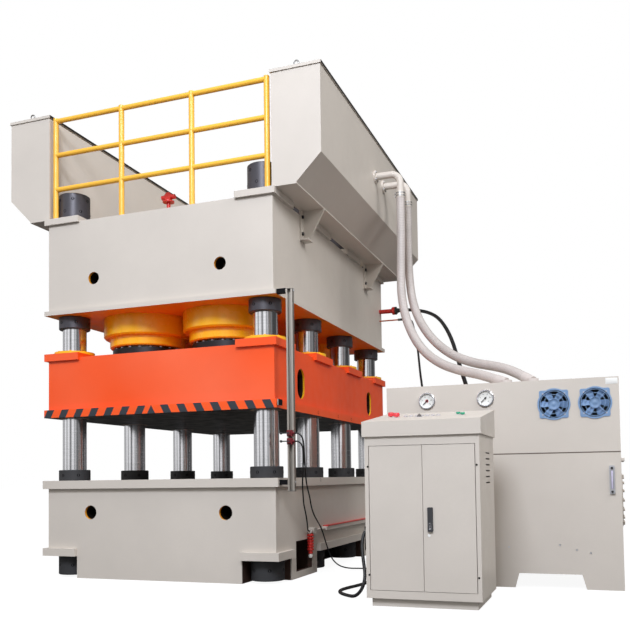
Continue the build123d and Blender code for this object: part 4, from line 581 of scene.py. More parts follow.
def plated(name, colour, dark, mask, gloss=0.14, marks=(3.0, 3.0, 160.0)):
    """Bright plated steel that turns to a dark, rough finish where the mask says."""
    finish = Finish(name)
    lines = finish.noise(1.0, 4.0, 0.6, finish.stretch(marks))
    tint = finish.mix(finish.ramp(lines, 0.0, 1.0), lighter(colour, 0.90), lighter(colour, 1.06))
    where = mask(finish)
    finish.bump(lines, 0.03, 0.0002)
    return finish.done(finish.mix(where, tint, dark),
                       finish.maths("MULTIPLY_ADD", where, 0.30, gloss), metallic=1.0)


def chrome_column(name, colours):
    """Hard chrome with two faint turned rings."""
    def rings(finish):
        upper = finish.between(finish.z, 1.1295, 1.1305)
        lower = finish.between(finish.z, 1.0795, 1.0802)
        return finish.maths("MULTIPLY", finish.maths("ADD", upper, lower), 0.5)
    return plated(name, CHROME, (0.30, 0.30, 0.32), rings)


def hose_finish(name, colours):
    """Grey suction hose, a little dusty."""
    finish = Finish(name)
    dust = finish.ramp(finish.noise(7.0, 5.0), 0.0, 1.0)
    tint = finish.mix(dust, lighter(colours.hose, 0.88), lighter(colours.hose, 1.05))
    finish.bump(finish.noise(160.0, 3.0), 0.18, 0.0006)
    return finish.done(tint, finish.ramp(finish.noise(20.0), 0.38, 0.55))


def dark_hole_finish(name, colours):
    """The unlit bottom of a drilled hole."""
    finish = Finish(name)
    finish.shader.inputs["Specular IOR Level"].default_value = 0.08
    # Painted shade: two near blacks, mottled by noise.
    grime_in_shade = finish.ramp(finish.noise(90.0), 0.0, 1.0)
    return finish.done(finish.mix(grime_in_shade, (0.004, 0.004, 0.005), (0.010, 0.009, 0.010)), 0.8)


def maker(build, colour, *settings, factor=1.0, **named):
    """Puts a finish off until a piece asks for it; a word names one of the press's colours."""
    def make(name, colours):
        own = lighter(getattr(colours, colour), factor) if isinstance(colour, str) else colour
        return build(name, own, *settings, **named)
    return make


def over(mask, red, green, blue):
    """The masks of a paint that has one second colour."""
    return lambda finish: [(mask(finish), shade(red, green, blue))]


DULL_MARKS = (40.0, 40.0, 200.0)
EVEN_MARKS = (90.0, 90.0, 90.0)

FINISHES = {
    "enamel_frame": maker(paint, "body"),
    "enamel_crown": enamel_crown,
    "enamel_base": enamel_base,
    "enamel_slider": enamel_slider,
    "enamel_plate": enamel_plate,
    "enamel_rails": maker(paint, "rails", gloss=0.32),
    "enamel_yellow": maker(paint, "yellow", gloss=0.24),
    "enamel_red": maker(paint, "red", gloss=0.36),
    "enamel_stripe": maker(paint, shade(45, 52, 60), gloss=0.45),
    # Painted shade: the lids' faces along their long edges are near black
    "lid": maker(paint, "body",
                 over(lambda f: f.above(f.absolute(f.split(f.normal)[0]), 0.9), 40, 36, 31)),
    # Painted shadow of the seam gap, where the upper housing stands on the tank
    "housing": maker(paint, "body", over(
        lambda f: f.between(f.z, UNIT.foot - 0.005, UNIT.foot + 0.009), 104, 92, 82)),
    # Yellow flange on a dark bronze sleeve
    "bush": maker(paint, "yellow", over(lambda f: f.below(f.z, SLIDER_TOP - 0.001), 120, 88, 52)),
    # Red pipe with a blackened hose fitting, and orange pipe with a dull steel nut
    "oil_pipe": maker(paint, "red", over(lambda f: f.above(f.x, BODY_SIDE + 0.191), 38, 44, 42)),
    "pilot_pipe": maker(paint, shade(198, 96, 44),
                        over(lambda f: f.above(f.x, BODY_SIDE + 0.221), 96, 92, 86)),
    # Red corrugated conduit with a white end
    "conduit": maker(paint, "red", over(lambda f: f.below(f.z, CONDUIT.foot + 0.031), 226, 226, 220)),
    # Blue plastic, with painted shade at the back of the duct
    "fan": maker(paint, "fan", over(lambda f: f.above(f.y, UNIT.front + 0.038), 56, 72, 96),
                 gloss=0.34),
    # Hose grey on the two suction fittings, black on the oil and pilot fittings
    "stub": maker(paint, "hose", over(lambda f: f.below(f.x, 2.600), 40, 40, 43)),
    "column": chrome_column,
    # Chromed ram on its blackened foot
    "ram": maker(plated, CHROME, (0.045, 0.045, 0.05),
                 lambda f: f.below(f.z, RAM_FOOT_TOP + 0.0005)),
    # Brown-grey aluminium rail on black brackets
    "rail": maker(plated, (0.50, 0.46, 0.41), (0.02, 0.02, 0.022),
                  lambda f: f.below(f.x, RAIL.right - 0.057), gloss=0.48, marks=(240.0, 240.0, 4.0)),
    # Bright bar with a black nose
    "dog": maker(plated, (0.66, 0.66, 0.68), (0.03, 0.03, 0.035),
                 lambda f: f.above(f.x, DOG.right - 0.007), gloss=0.22),
    "black_steel": maker(metal, (0.120, 0.115, 0.132), 0.44, DULL_MARKS, 0.12, 0.35),
    # Painted shade: a darker copy of the black steel, for the crown nuts.
    "nut_steel": maker(metal, (0.074, 0.070, 0.082), 0.42, DULL_MARKS, 0.12, 0.35),
    "dull_steel": maker(metal, (0.36, 0.35, 0.34), 0.42, EVEN_MARKS),
    "bright_steel": maker(metal, (0.66, 0.66, 0.68), 0.24, (200.0, 20.0, 200.0)),
    "bezel": maker(metal, (0.82, 0.82, 0.86), 0.26, EVEN_MARKS, 0.02),
    "dark_hole": dark_hole_finish,
    "hose": hose_finish,
    "hose_rib": maker(plastic, "hose", factor=0.74, gloss=0.4),
    "rubber": maker(plastic, "rubber", gloss=0.50, grain=300.0),
    "fan_blade": maker(plastic, "fan", factor=1.12, gloss=0.24),
    "fan_corner": maker(plastic, "fan", factor=0.95, gloss=0.34),
    "fan_hub": maker(plastic, "fan", factor=0.88, gloss=0.4),
    "dial_white": maker(plastic, shade(236, 236, 232), gloss=0.5),
    "red_plastic": maker(plastic, shade(158, 20, 36)),
    "switch_red": maker(plastic, shade(112, 20, 30), gloss=0.45),
    "green_plastic": maker(plastic, shade(16, 98, 68)),
    "white_plastic": maker(plastic, shade(228, 228, 224)),
    "lamp": maker(plastic, shade(196, 191, 192), gloss=0.45),
    "grey_plastic": maker(plastic, shade(112, 108, 108), gloss=0.42),
    "black_plastic": maker(plastic, shade(25, 25, 28), gloss=0.42),
    "pale_tube": maker(plastic, shade(206, 202, 226), gloss=0.16, grain=200.0),
}

NODE_FINISHES = {
    "enamel_frame": ("bolster_plate", "branch_pipes", "left_tank", "right_tank",
                     "tank_brackets", "suction_pipes", "cable_duct", "oil_tank",
                     "clean_out_cover", "console_cabinet", "console_desk", "left_door", "right_door"),
    "enamel_crown": ("crown_weldment",),
    "enamel_base": ("base_weldment",),
    "enamel_slider": ("slider_weldment",),
    "enamel_plate": ("slider_base_plate",),
    "lid": ("tank_lids",),
    "housing": ("pump_housing",),
    "enamel_yellow": ("cylinders",),
    "enamel_rails": ("railings",),
    "enamel_red": ("duct_cover", "crown_valve"),
    "oil_pipe": ("pressure_pipe",),
    "pilot_pipe": ("pilot_pipe",),
    "bush": ("guide_bushes",),
    "column": ("columns",),
    "ram": ("rams",),
    "rail": ("limit_rail",),
    "dog": ("slider_dog",),
    "conduit": ("red_conduit",),
    "fan": ("fan_frames",),
    "fan_blade": ("left_fan_rotor", "right_fan_rotor"),
    "nut_steel": ("crown_nuts",),
    "black_steel": ("base_nuts", "prefill_valves", "motor_pump", "lower_switch_lever",
                    "upper_switch_lever"),
    "bright_steel": ("level_gauge",),
    "bezel": ("gauge_cases",),
    "red_plastic": ("stop_button_1", "stop_button_2"),
    "switch_red": ("limit_switches",),
    "green_plastic": ("start_button_1", "start_button_2"),
    "lamp": ("pilot_lamps",),
    "grey_plastic": ("selector_switch",),
    "black_plastic": ("left_gauge_needle", "right_gauge_needle", "door_handle"),
    "stub": ("hose_stubs",),
    "hose": ("suction_hose_front", "suction_hose_rear"),
    "rubber": ("pressure_hose", "pilot_hose", "upper_switch_cable", "lower_switch_cable",
               "control_cable"),
}


def finish_named(name):
    """The named finish, made when a piece first asks for it."""
    return bpy.data.materials.get(name) or FINISHES[name](name, bpy.context.scene.press_colours)


# Cords

def lay_cord(node, route, diameter, material):
    """One open NURBS spline along the route, shown in place of the plain CAD tube."""
    curve = bpy.data.curves.new(node + "_run", "CURVE")
    curve.dimensions = "3D"
    spline = curve.splines.new("NURBS")
    spline.points.add(len(route) - 1)
    for point, place in zip(spline.points, route):
        point.co = (*place, 1.0)
    spline.order_u = 3
    spline.use_endpoint_u = True
    curve.bevel_depth = diameter / 2
    curve.bevel_resolution = 6
    curve.use_fill_caps = True
    cord = bpy.data.objects.new(node + "_run", curve)
    bpy.context.scene.collection.objects.link(cord)
    curve.materials.append(finish_named(material))
    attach(cord, "frame")
    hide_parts(node)
    return cord


def centre_line(cord):
    """Points of the cord's centre line, read from its spline without the bevel."""
    bare = bpy.data.objects.new("bare", cord.data.copy())
    bare.data.bevel_depth = 0
    mesh = bpy.data.meshes.new_from_object(bare)
    points = [vertex.co.copy() for vertex in mesh.vertices]
    bpy.data.objects.remove(bare)
    bpy.data.meshes.remove(mesh)
    return points


def helix_points(line, radius, pitch, turn=14):
    """Points of a helix round the line, with a frame carried along it untwisted."""
    travel = pitch / turn
    across = (line[1] - line[0]).orthogonal().normalized()
    points, left, angle = [], 0.0, 0.0
    for start, end in zip(line, line[1:]):
        direction = (end - start).normalized()
        across = (across - direction * across.dot(direction)).normalized()
        side = direction.cross(across)
        length = (end - start).length
        while left < length:
            centre = start + direction * left
            points.append(centre + radius * (math.cos(angle) * across + math.sin(angle) * side))
            angle += 2 * math.pi / turn
            left += travel
        left -= length
    return points


def wind_rib(cord, radius, pitch, thickness):
    """The rib wound round a suction hose."""
    curve = bpy.data.curves.new(cord.name + "_rib", "CURVE")
    curve.dimensions = "3D"
    points = helix_points(centre_line(cord), radius, pitch)
    spline = curve.splines.new("POLY")
    spline.points.add(len(points) - 1)
    for point, place in zip(spline.points, points):
        point.co = (*place, 1.0)
    curve.bevel_depth = thickness
    curve.bevel_resolution = 1
    rib = bpy.data.objects.new(cord.name + "_rib", curve)
    bpy.context.scene.collection.objects.link(rib)
    pick(rib)
    bpy.ops.object.convert(target="MESH")
    return dress(bpy.context.object, "hose_rib", "frame", 60)


def hose_clamp(name, centre, radius):
    """A worm-drive band: a hollow ring with a rolled edge and its screw housing."""
    band = round_stock(name, (0, 0, 0), radius=radius + 0.0022, depth=0.014, sides=40)
    step(band, UP, (0.0020, 0.0), (0.0004, -0.0138))
    soften(band, 0.0006, 1)
    housing = flat_stock("housing", (radius + 0.001, -0.009, -0.006), (radius + 0.011, 0.009, 0.006))
    soften(housing, 0.0015)
    screw = round_stock("screw", (radius + 0.007, 0, 0), radius=0.0042, depth=0.030, axis="Y", sides=12)
    step(screw, TO_FRONT, (0.001, -0.001))
    clamp = join(name, [band, housing, screw])
    clamp.data.transform(towards(centre, UP))
    return dress(clamp, "dull_steel", "frame")


class PRESS_OT_camera(bpy.types.Operator):
    """Sets the camera low in front of the press, a little to its right"""
    bl_idname = "press.camera"
    bl_label = "Camera"

    def execute(self, context):
        stage = context.scene.press_stage
        place = (3.5944, -7.4789, 0.8459)
        yaw, pitch, roll = -0.3532, 0.0438, -0.0134
        level = Vector((math.cos(yaw), -math.sin(yaw), 0))
        forward = Vector((math.sin(yaw) * math.cos(pitch), math.cos(yaw) * math.cos(pitch),
                          math.sin(pitch)))
        over = level.cross(forward)
        across = level * math.cos(roll) + over * math.sin(roll)
        up = over * math.cos(roll) - level * math.sin(roll)
        lens = bpy.data.cameras.new("press_camera")
        lens.sensor_width = 36.0
        lens.lens = stage.lens
        lens.shift_y = stage.rise
        lens.clip_end = 200.0
        camera = bpy.data.objects.new("press_camera", lens)
        context.scene.collection.objects.link(camera)
        turn = Matrix((across, up, -forward)).transposed().to_4x4()
        camera.matrix_world = Matrix.Translation(place) @ turn
        context.scene.camera = camera
        return {"FINISHED"}


class PRESS_OT_hoses(bpy.types.Operator):
    """Lays the four hoses from the press down to the power unit"""
    bl_idname = "press.hoses"
    bl_label = "Hoses"

    def execute(self, context):
        pitch = context.scene.press_sizes.rib_pitch
        for node, route, diameter, length in (
                ("suction_hose_front", FRONT_SUCTION_ROUTE, 0.080, 2.564),
                ("suction_hose_rear", REAR_SUCTION_ROUTE, 0.080, 2.782)):
            hose = lay_cord(node, route, diameter, "hose")
            rib = wind_rib(hose, diameter / 2 - 0.0004, pitch, 0.0021)
            x, y, z = route[0]
            clamps = [hose_clamp(f"{node}_clamp_{index}", (x, y, z + 0.018 + 0.026 * index),
                                 diameter / 2 + 0.004) for index in range(2)]
        for node, route, diameter, length in (("pressure_hose", PRESSURE_ROUTE, 0.038, 2.635),
                                              ("pilot_hose", PILOT_ROUTE, 0.020, 2.486)):
            hose = lay_cord(node, route, diameter, "rubber")
            x, y, z = route[0]
            ferrule = round_stock(node + "_ferrule", (x + 0.026, y, z), radius=diameter / 2 + 0.004,
                                  depth=0.050, axis="X", sides=24)
            step(ferrule, RIGHT, (0.0035, 0.0))
            soften(ferrule, 0.0012)
            dress(ferrule, "black_steel", "frame")
        return {"FINISHED"}


class PRESS_OT_cables(bpy.types.Operator):
    """Lays the two switch cables and the console's cable"""
    bl_idname = "press.cables"
    bl_label = "Cables"

    def execute(self, context):
        for node, route, diameter, length in (
                ("upper_switch_cable", UPPER_SWITCH_ROUTE, 0.012, 2.458),
                ("lower_switch_cable", LOWER_SWITCH_ROUTE, 0.012, 1.116),
                ("control_cable", CONTROL_ROUTE, 0.024, 2.067)):
            cable = lay_cord(node, route, diameter, "rubber")
        return {"FINISHED"}


class PRESS_OT_finishes(bpy.types.Operator):
    """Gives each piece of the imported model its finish"""
    bl_idname = "press.finishes"
    bl_label = "Finishes"

    def execute(self, context):
        for material, nodes in NODE_FINISHES.items():
            for node in nodes:
                for slot in NODES[node].material_slots:
                    slot.material = finish_named(material)
        return {"FINISHED"}


# Press

class PRESS_OT_stripes(bpy.types.Operator):
    """Sprays the black stripes on the front edge of the slider's plate"""
    bl_idname = "press.stripes"
    bl_label = "Hazard Stripes"

    def execute(self, context):
        sizes = context.scene.press_sizes
        middle = (PLATE.foot + PLATE.top) / 2
        front, back = PLATE.front - 0.0005, PLATE.front + 0.0002
        stripes = []
        for name, start, lean in (("left_stripes", PLATE.left, 1), ("right_stripes", 0.097, -1)):
            stripe = flat_stock(name, (0, front, PLATE.foot), (sizes.stripe, back, PLATE.top))
            choose(stripe, "VERT", lambda vertex: vertex.co.z > middle)
            bpy.ops.transform.translate(value=(lean * sizes.stripe_lean, 0, 0))
            clear_selection()
            places = [Matrix.Translation((start + index * sizes.stripe_pitch, 0, 0))
                      for index in range(7)]
            stripes.append(spread(stripe, name, places))
        wedge_x, wedge_half = -0.025, 0.039
        wedge = flat_stock("middle_stripe", (wedge_x - wedge_half, front, PLATE.foot),
                           (wedge_x + wedge_half, back, PLATE.top))
        choose(wedge, "VERT", lambda vertex: vertex.co.z > middle)
        bpy.ops.transform.resize(value=(0.02, 1, 1), center_override=(wedge_x, 0, PLATE.top))
        clear_selection()
        dress(join("hazard_stripes", [*stripes, wedge]), "enamel_stripe", "slider")
        return {"FINISHED"}


class PRESS_OT_nut_holes(bpy.types.Operator):
    """Sinks the spanner holes round every column nut"""
    bl_idname = "press.nut_holes"
    bl_label = "Nut Holes"

    def execute(self, context):
        radius = context.scene.press_sizes.hole
        base, crown = Box("base_nuts"), Box("crown_nuts")
        for name, rows in (
                ("base_nut_holes", ((0.104, 0.0), ((BOLSTER.top + base.top) / 2, 0.35))),
                ("crown_nut_holes", (((crown.foot + CROWN.foot) / 2, 0.2), (CROWN.top + 0.080, 0.5),
                                     (crown.top - 0.053, 0.0)))):
            hole = round_stock(name, (0, 0, 0), radius=radius, depth=0.0012, sides=14)
            step(hole, UP, (radius * 0.14, 0.0), (radius * 0.1, -0.0009))
            places = []
            for x, y in COLUMNS:
                for height, start in rows:
                    for index in range(6):
                        angle = start + index * math.pi / 3
                        out = Vector((math.cos(angle), math.sin(angle), 0))
                        places.append(towards(Vector((x, y, height)) + NUT_RADIUS * out, out))
            dress(spread(hole, name, places), "dark_hole", "frame")
        return {"FINISHED"}


class PRESS_OT_screws(bpy.types.Operator):
    """Sets the screws of the rams, bushes, gussets and flanges"""
    bl_idname = "press.screws"
    bl_label = "Screws"

    def execute(self, context):
        bush_top = Box("guide_bushes").top
        places = [place for x, y in CYLINDERS
                  for place in ring_places((x, y, RAM_FOOT_TOP), radius=0.299, count=20)]
        dress(spread(screw_pattern(radius=0.0125, height=0.012, sides=12), "ram_screws", places),
              "bright_steel", "slider")
        places = [place for x, y in COLUMNS
                  for place in ring_places((x, y, bush_top), radius=0.155, count=8, start=0.39)]
        dress(spread(screw_pattern(radius=0.009, height=0.008, sides=12), "bush_screws", places),
              "enamel_yellow", "slider")
        places = [towards((side * (BODY_SIDE + 0.016), y + across, height), (side, 0, 0))
                  for side in (-1, 1) for y in (-0.970, 0.970) for across in (-0.038, 0.038)
                  for height in (3.000, 3.150)]
        dress(spread(screw_pattern(radius=0.0165, height=0.013), "gusset_bolts", places),
              "black_steel", "frame")
        places = []
        for route in (FRONT_SUCTION_ROUTE, REAR_SUCTION_ROUTE):
            flange = (TANK.right + 0.016, route[0][1], 3.788)
            places += ring_places(flange, radius=0.048, count=4, direction=RIGHT, start=math.pi / 4)
        dress(spread(screw_pattern(radius=0.0085, height=0.008), "suction_bolts", places),
              "bright_steel", "frame")
        places = []
        x, y, z = PRESSURE_ROUTE[0]
        for back, look in ((0.070, LEFT), (0.024, RIGHT)):
            places += ring_places((x - back, y, z), radius=0.036, count=4, direction=look,
                                  start=math.pi / 4)
        dress(spread(screw_pattern(radius=0.0075, height=0.008), "oil_flange_bolts", places),
              "black_steel", "frame")
        return {"FINISHED"}


class PRESS_OT_bleed_valve(bpy.types.Operator):
    """Adds the flange and the two ports of the red bleed valve"""
    bl_idname = "press.bleed_valve"
    bl_label = "Bleed Valve"

    def execute(self, context):
        x, y, _ = VALVE.middle
        flange = round_stock("valve_flange", (x, y, VALVE.top - 0.082), radius=0.052, depth=0.012)
        step(flange, UP, (0.014, 0.0), (0.001, -0.002))
        soften(flange, 0.0015)
        ports = []
        for side in (-1, 1):
            port = round_stock("valve_port", (x + side * 0.048, y, VALVE.top - 0.040), radius=0.021,
                               depth=0.034, axis="X", sides=24)
            step(port, (side, 0, 0), (0.005, 0.0), (0.001, -0.004))
            soften(port, 0.001)
            ports.append(port)
        dress(join("bleed_valve", [flange, *ports]), "enamel_red", "frame")
        return {"FINISHED"}


class PRESS_OT_lid_eyes(bpy.types.Operator):
    """Screws a lifting eye near the front edge of each tank lid"""
    bl_idname = "press.lid_eyes"
    bl_label = "Lid Eyes"

    def execute(self, context):
        y = LIDS.front + 0.042
        eyes = []
        for x in (-TANK.middle.x, TANK.middle.x):
            collar = round_stock("eye_collar", (x, y, LIDS.top - 0.054), radius=0.017, depth=0.012,
                                 sides=28)
            step(collar, UP, (0.004, 0.0), (0.0015, 0.002))
            soften(collar, 0.001)
            clear_selection()
            bpy.ops.mesh.primitive_torus_add(location=(x, y, LIDS.top - 0.026), major_radius=0.020,
                                             rotation=(math.pi / 2, 0, 0), minor_radius=0.006,
                                             major_segments=36, minor_segments=14)
            eyes += [collar, settle("eye_ring")]
        dress(join("front_lid_eyes", eyes), "dull_steel", "frame")
        return {"FINISHED"}


class PRESS_OT_edge_holes(bpy.types.Operator):
    """Drills the tapped holes in the right edges of the slider's plate and the bolster"""
    bl_idname = "press.edge_holes"
    bl_label = "Edge Holes"

    def execute(self, context):
        plate_height, bolster_height = PLATE.foot + 0.030, BOLSTER.top - 0.024
        for name, body, places in (
                ("plate_edge_holes", "slider",
                 [(PLATE.right, y, plate_height) for y in (-0.689, -0.122, 0.296)]),
                ("bolster_edge_hole", "frame", [(BOLSTER.right, -0.673, bolster_height)])):
            hole = round_stock(name, (0, 0, 0), radius=0.0140, depth=0.0008, sides=20)
            step(hole, UP, (0.0018, 0.0), (0.0008, -0.0006))
            dress(spread(hole, name, [towards(place, RIGHT) for place in places]),
                  "dark_hole", body)
        return {"FINISHED"}


class PRESS_OT_conduit_ribs(bpy.types.Operator):
    """Slips the ribs of the red corrugated conduit over its tube"""
    bl_idname = "press.conduit_ribs"
    bl_label = "Conduit Ribs"

    def execute(self, context):
        x, y, _ = CONDUIT.middle
        radius = (CONDUIT.right - CONDUIT.left) / 2 + 0.010
        pitch = 0.025
        rib = round_stock("rib", (0, 0, 0), radius=radius, depth=0.013, sides=28)
        for look in (UP, DOWN):
            step(rib, look, (0.003, 0.002))
        soften(rib, 0.0012, 1)
        rows = int((CONDUIT.top - CONDUIT.foot - 0.040) / pitch)
        places = [Matrix.Translation((x, y, CONDUIT.top - 0.014 - pitch * row)) for row in range(rows)]
        dress(spread(rib, "conduit_ribs", places), "enamel_red", "frame")
        return {"FINISHED"}


class PRESS_OT_rail_fittings(bpy.types.Operator):
    """Adds the rail's end caps, its T-slot nuts and the dog's lock rings"""
    bl_idname = "press.rail_fittings"
    bl_label = "Rail Fittings"

    def execute(self, context):
        caps = []
        for name, foot, look in (("rail_foot_cap", RAIL.foot - 0.0005, DOWN),
                                 ("rail_head_cap", RAIL.top - 0.0075, UP)):
            cap = flat_stock(name, (RAIL.right - 0.057, RAIL.front + 0.003, foot),
                             (RAIL.right + 0.001, RAIL.back + 0.001, foot + 0.003))
            step(cap, look, (0.006, 0.0), (0.002, -0.0008))
            soften(cap, 0.0008)
            caps.append(cap)
        dress(join("rail_caps", caps), "black_plastic", "frame")
        switches = (LOWER_SWITCH_ROUTE[0][2], UPPER_SWITCH_ROUTE[0][2])
        places = [towards((RAIL.right + 0.001, -1.620, height), RIGHT)
                  for height in (RAIL.foot + 0.071, *switches, RAIL.top - 0.023)]
        dress(spread(screw_pattern(radius=0.0085, height=0.007), "rail_nuts", places),
              "bright_steel", "frame")
        rings = []
        for reach in (0.005, 0.020):
            ring = round_stock("dog_ring", (DOG.left + reach, -1.635, DOG.middle.z), radius=0.0175,
                               depth=0.009, axis="X", sides=24)
            step(ring, RIGHT, (0.004, 0.0), (0.001, -0.001))
            soften(ring, 0.001)
            rings.append(ring)
        dress(join("dog_rings", rings), "black_steel", "slider")
        return {"FINISHED"}


# Power unit

class PRESS_OT_fans(bpy.types.Operator):
    """Adds the corner plates, the hub caps and the screws of the cooling fans"""
    bl_idname = "press.fans"
    bl_label = "Fans"

    def execute(self, context):
        half, arm, height = 0.105, 0.048, FANS.middle.z
        fans = [("left_fan", FANS.middle.x - 0.146), ("right_fan", FANS.middle.x + 0.146)]
        corner = flat_stock("corner", (arm, -0.0027, arm), (half, 0.0027, half))
        choose(corner, "FACE", lambda face: True)
        bpy.ops.mesh.bisect(plane_co=(arm, 0, half), plane_no=(1, 0, 1), use_fill=True,
                            clear_inner=True)
        choose(corner, "EDGE", lambda edge: all(min(vertex.co.x, vertex.co.z) > half - 0.001
                                                for vertex in edge.verts))
        bpy.ops.mesh.bevel(offset=0.013, segments=5)
        clear_selection()
        soften(corner, 0.0008, 1)
        places = [Matrix.Translation((x, FANS.front + 0.0032, height))
                  @ Matrix.Rotation(quarter * math.pi / 2, 4, "Y")
                  for _, x in fans for quarter in range(4)]
        dress(spread(corner, "fan_corners", places), "fan_corner", "frame")
        screws = []
        for name, x in fans:
            cap = round_stock(name + "_cap", (x, UNIT.front + 0.0033, height), radius=0.036,
                              depth=0.0016, axis="Y", sides=36)
            step(cap, TO_FRONT, (0.004, 0.0), (0.001, -0.0005), (0.018, 0.0), (0.001, 0.0005))
            dress(cap, "fan_hub", name)
            screws += ring_places((x, FANS.front, height), radius=0.1115, count=4,
                                  direction=TO_FRONT, start=math.pi / 4)
        dress(spread(screw_pattern(radius=0.0055, height=0.004, sides=12), "fan_screws", screws),
              "bright_steel", "frame")
        return {"FINISHED"}


class PRESS_OT_gauges(bpy.types.Operator):
    """Prints the two dials: a white plate, its ticks and numbers, and a red centre"""
    bl_idname = "press.gauges"
    bl_label = "Gauges"

    def execute(self, context):
        front, height, inset = DIALS.front + 0.012, DIALS.middle.z, 0.066
        first, sweep, divisions = math.radians(-135), math.radians(270), 25
        dials, ticks, numbers = [], [], []
        for x in (DIALS.left + inset, DIALS.right - inset):
            dial = round_stock("dial", (x, front - 0.0002, height), radius=0.0555, depth=0.0005,
                               axis="Y", sides=48)
            step(dial, TO_FRONT, (0.0008, 0.0), (0.0004, -0.0002))
            dials.append(dial)
            for index in range(divisions + 1):
                angle = first + sweep * index / divisions
                turn = Matrix.Translation((x, front - 0.0006, height)) @ Matrix.Rotation(angle, 4, "Y")
                length = 1.0 if index % 5 == 0 else 0.55
                ticks.append(turn @ Matrix.Translation((0, 0, 0.0515)) @ Matrix.Scale(length, 4, UP))
            for value in range(0, divisions + 1, 5):
                angle = first + sweep * value / divisions
                out = Vector((math.sin(angle), 0, math.cos(angle)))
                clear_selection()
                bpy.ops.object.text_add(rotation=AXIS_TURN["Y"],
                                        location=Vector((x, front - 0.0005, height)) + 0.0345 * out)
                number = bpy.context.object
                number.data.body = str(value)
                number.data.size = 0.0125
                number.data.extrude = 0.0001
                number.data.align_x = "CENTER"
                number.data.align_y = "CENTER"
                bpy.ops.object.convert(target="MESH")
                numbers.append(settle("number"))
        dress(join("dials", dials), "dial_white", "frame")
        dress(join("dial_numbers", numbers), "black_plastic", "frame")
        tick = flat_stock("tick", (-0.0007, -0.0001, -0.010), (0.0007, 0.0001, 0.0))
        choose(tick, "VERT", lambda vertex: vertex.co.z < -0.005)
        bpy.ops.transform.resize(value=(0.5, 1, 1), center_override=(0, 0, 0))
        clear_selection()
        dress(spread(tick, "dial_ticks", ticks), "black_plastic", "frame")
        mark = round_stock("dial_centre", (DIALS.left + inset, front - 0.0008, height),
                           radius=0.0125, depth=0.0006, axis="Y")
        step(mark, TO_FRONT, (0.003, 0.0), (0.0006, -0.0002))
        dress(mark, "red_plastic", "frame")
        return {"FINISHED"}


class PRESS_OT_level_gauge(bpy.types.Operator):
    """Fits the oil level gauge's tube and its two bolts"""
    bl_idname = "press.level_gauge"
    bl_label = "Level Gauge"

    def execute(self, context):
        x, _, height = LEVEL.middle
        tube = round_stock("level_tube", (x, LEVEL.front + 0.0095, height), radius=0.0072,
                           depth=0.132, sides=24)
        for look in (UP, DOWN):
            step(tube, look, (0.0012, 0.0), (0.0006, -0.0012))
        soften(tube, 0.0006)
        dress(tube, "pale_tube", "frame")
        places = [towards((x, LEVEL.front, height + rise), TO_FRONT) for rise in (-0.0861, 0.0861)]
        dress(spread(screw_pattern(radius=0.0092, height=0.007), "level_bolts", places),
              "black_steel", "frame")
        return {"FINISHED"}


class PRESS_OT_unit_trim(bpy.types.Operator):
    """Adds the power unit's bare label, its plugs and its side ledge"""
    bl_idname = "press.unit_trim"
    bl_label = "Power Unit Trim"

    def execute(self, context):
        label = flat_stock("unit_label", (UNIT.right - 0.092, UNIT.front - 0.0012, UNIT.top - 0.053),
                           (UNIT.right - 0.008, UNIT.front + 0.0001, UNIT.top - 0.009))
        step(label, TO_FRONT, (0.0025, 0.0), (0.0006, 0.0003))
        soften(label, 0.0003, 1)
        dress(label, "white_plastic", "frame")
        plugs = [towards((x, UNIT.front, z), TO_FRONT)
                 for x, z in ((2.868, 0.303), (3.240, 0.324), (3.359, 0.289), (3.456, 0.269))]
        plug = round_stock("plug", (0, 0, 0), radius=0.0075, depth=0.003, sides=18)
        step(plug, UP, (0.0016, 0.0), (0.0008, -0.0008))
        dress(spread(plug, "panel_plugs", plugs), "bright_steel", "frame")
        ledge = flat_stock("side_ledge", (UNIT.right - 0.001, UNIT.front + 0.016, UNIT.foot - 0.065),
                           (UNIT.right + 0.0235, UNIT.front + 0.578, UNIT.foot - 0.041))
        step(ledge, UP, (0.003, 0.0), (0.001, -0.001))
        soften(ledge, 0.0015)
        dress(ledge, "enamel_frame", "frame")
        return {"FINISHED"}


# Console

DESK_EDGE = Vector((DESK.left + 0.014, DESK.front, DESK.foot + 0.100))
DESK_TILT = math.atan2(DESK.top - DESK_EDGE.z, DESK.back - DESK.front)

# Places on the desk: distance from its left edge, and from its front edge up the slope
BUTTONS = ((0.566, 0.370), (0.606, 0.305), (0.318, 0.270))
LAMPS = [(0.205 + 0.038 * lamp, 0.345) for lamp in range(7)]
BUTTON_PLATES = ((0.566, 0.342), (0.606, 0.277), (0.318, 0.240), (0.092, 0.345), (0.150, 0.275))
LAMP_PLATES = [(across, back - 0.027) for across, back in LAMPS]


def on_desk(across, back):
    """The place of a piece on the sloping desk."""
    along = Vector((0, math.cos(DESK_TILT), math.sin(DESK_TILT)))
    place = DESK_EDGE + Vector((across, 0, 0)) + back * along
    return Matrix.Translation(place) @ Matrix.Rotation(DESK_TILT, 4, "X")


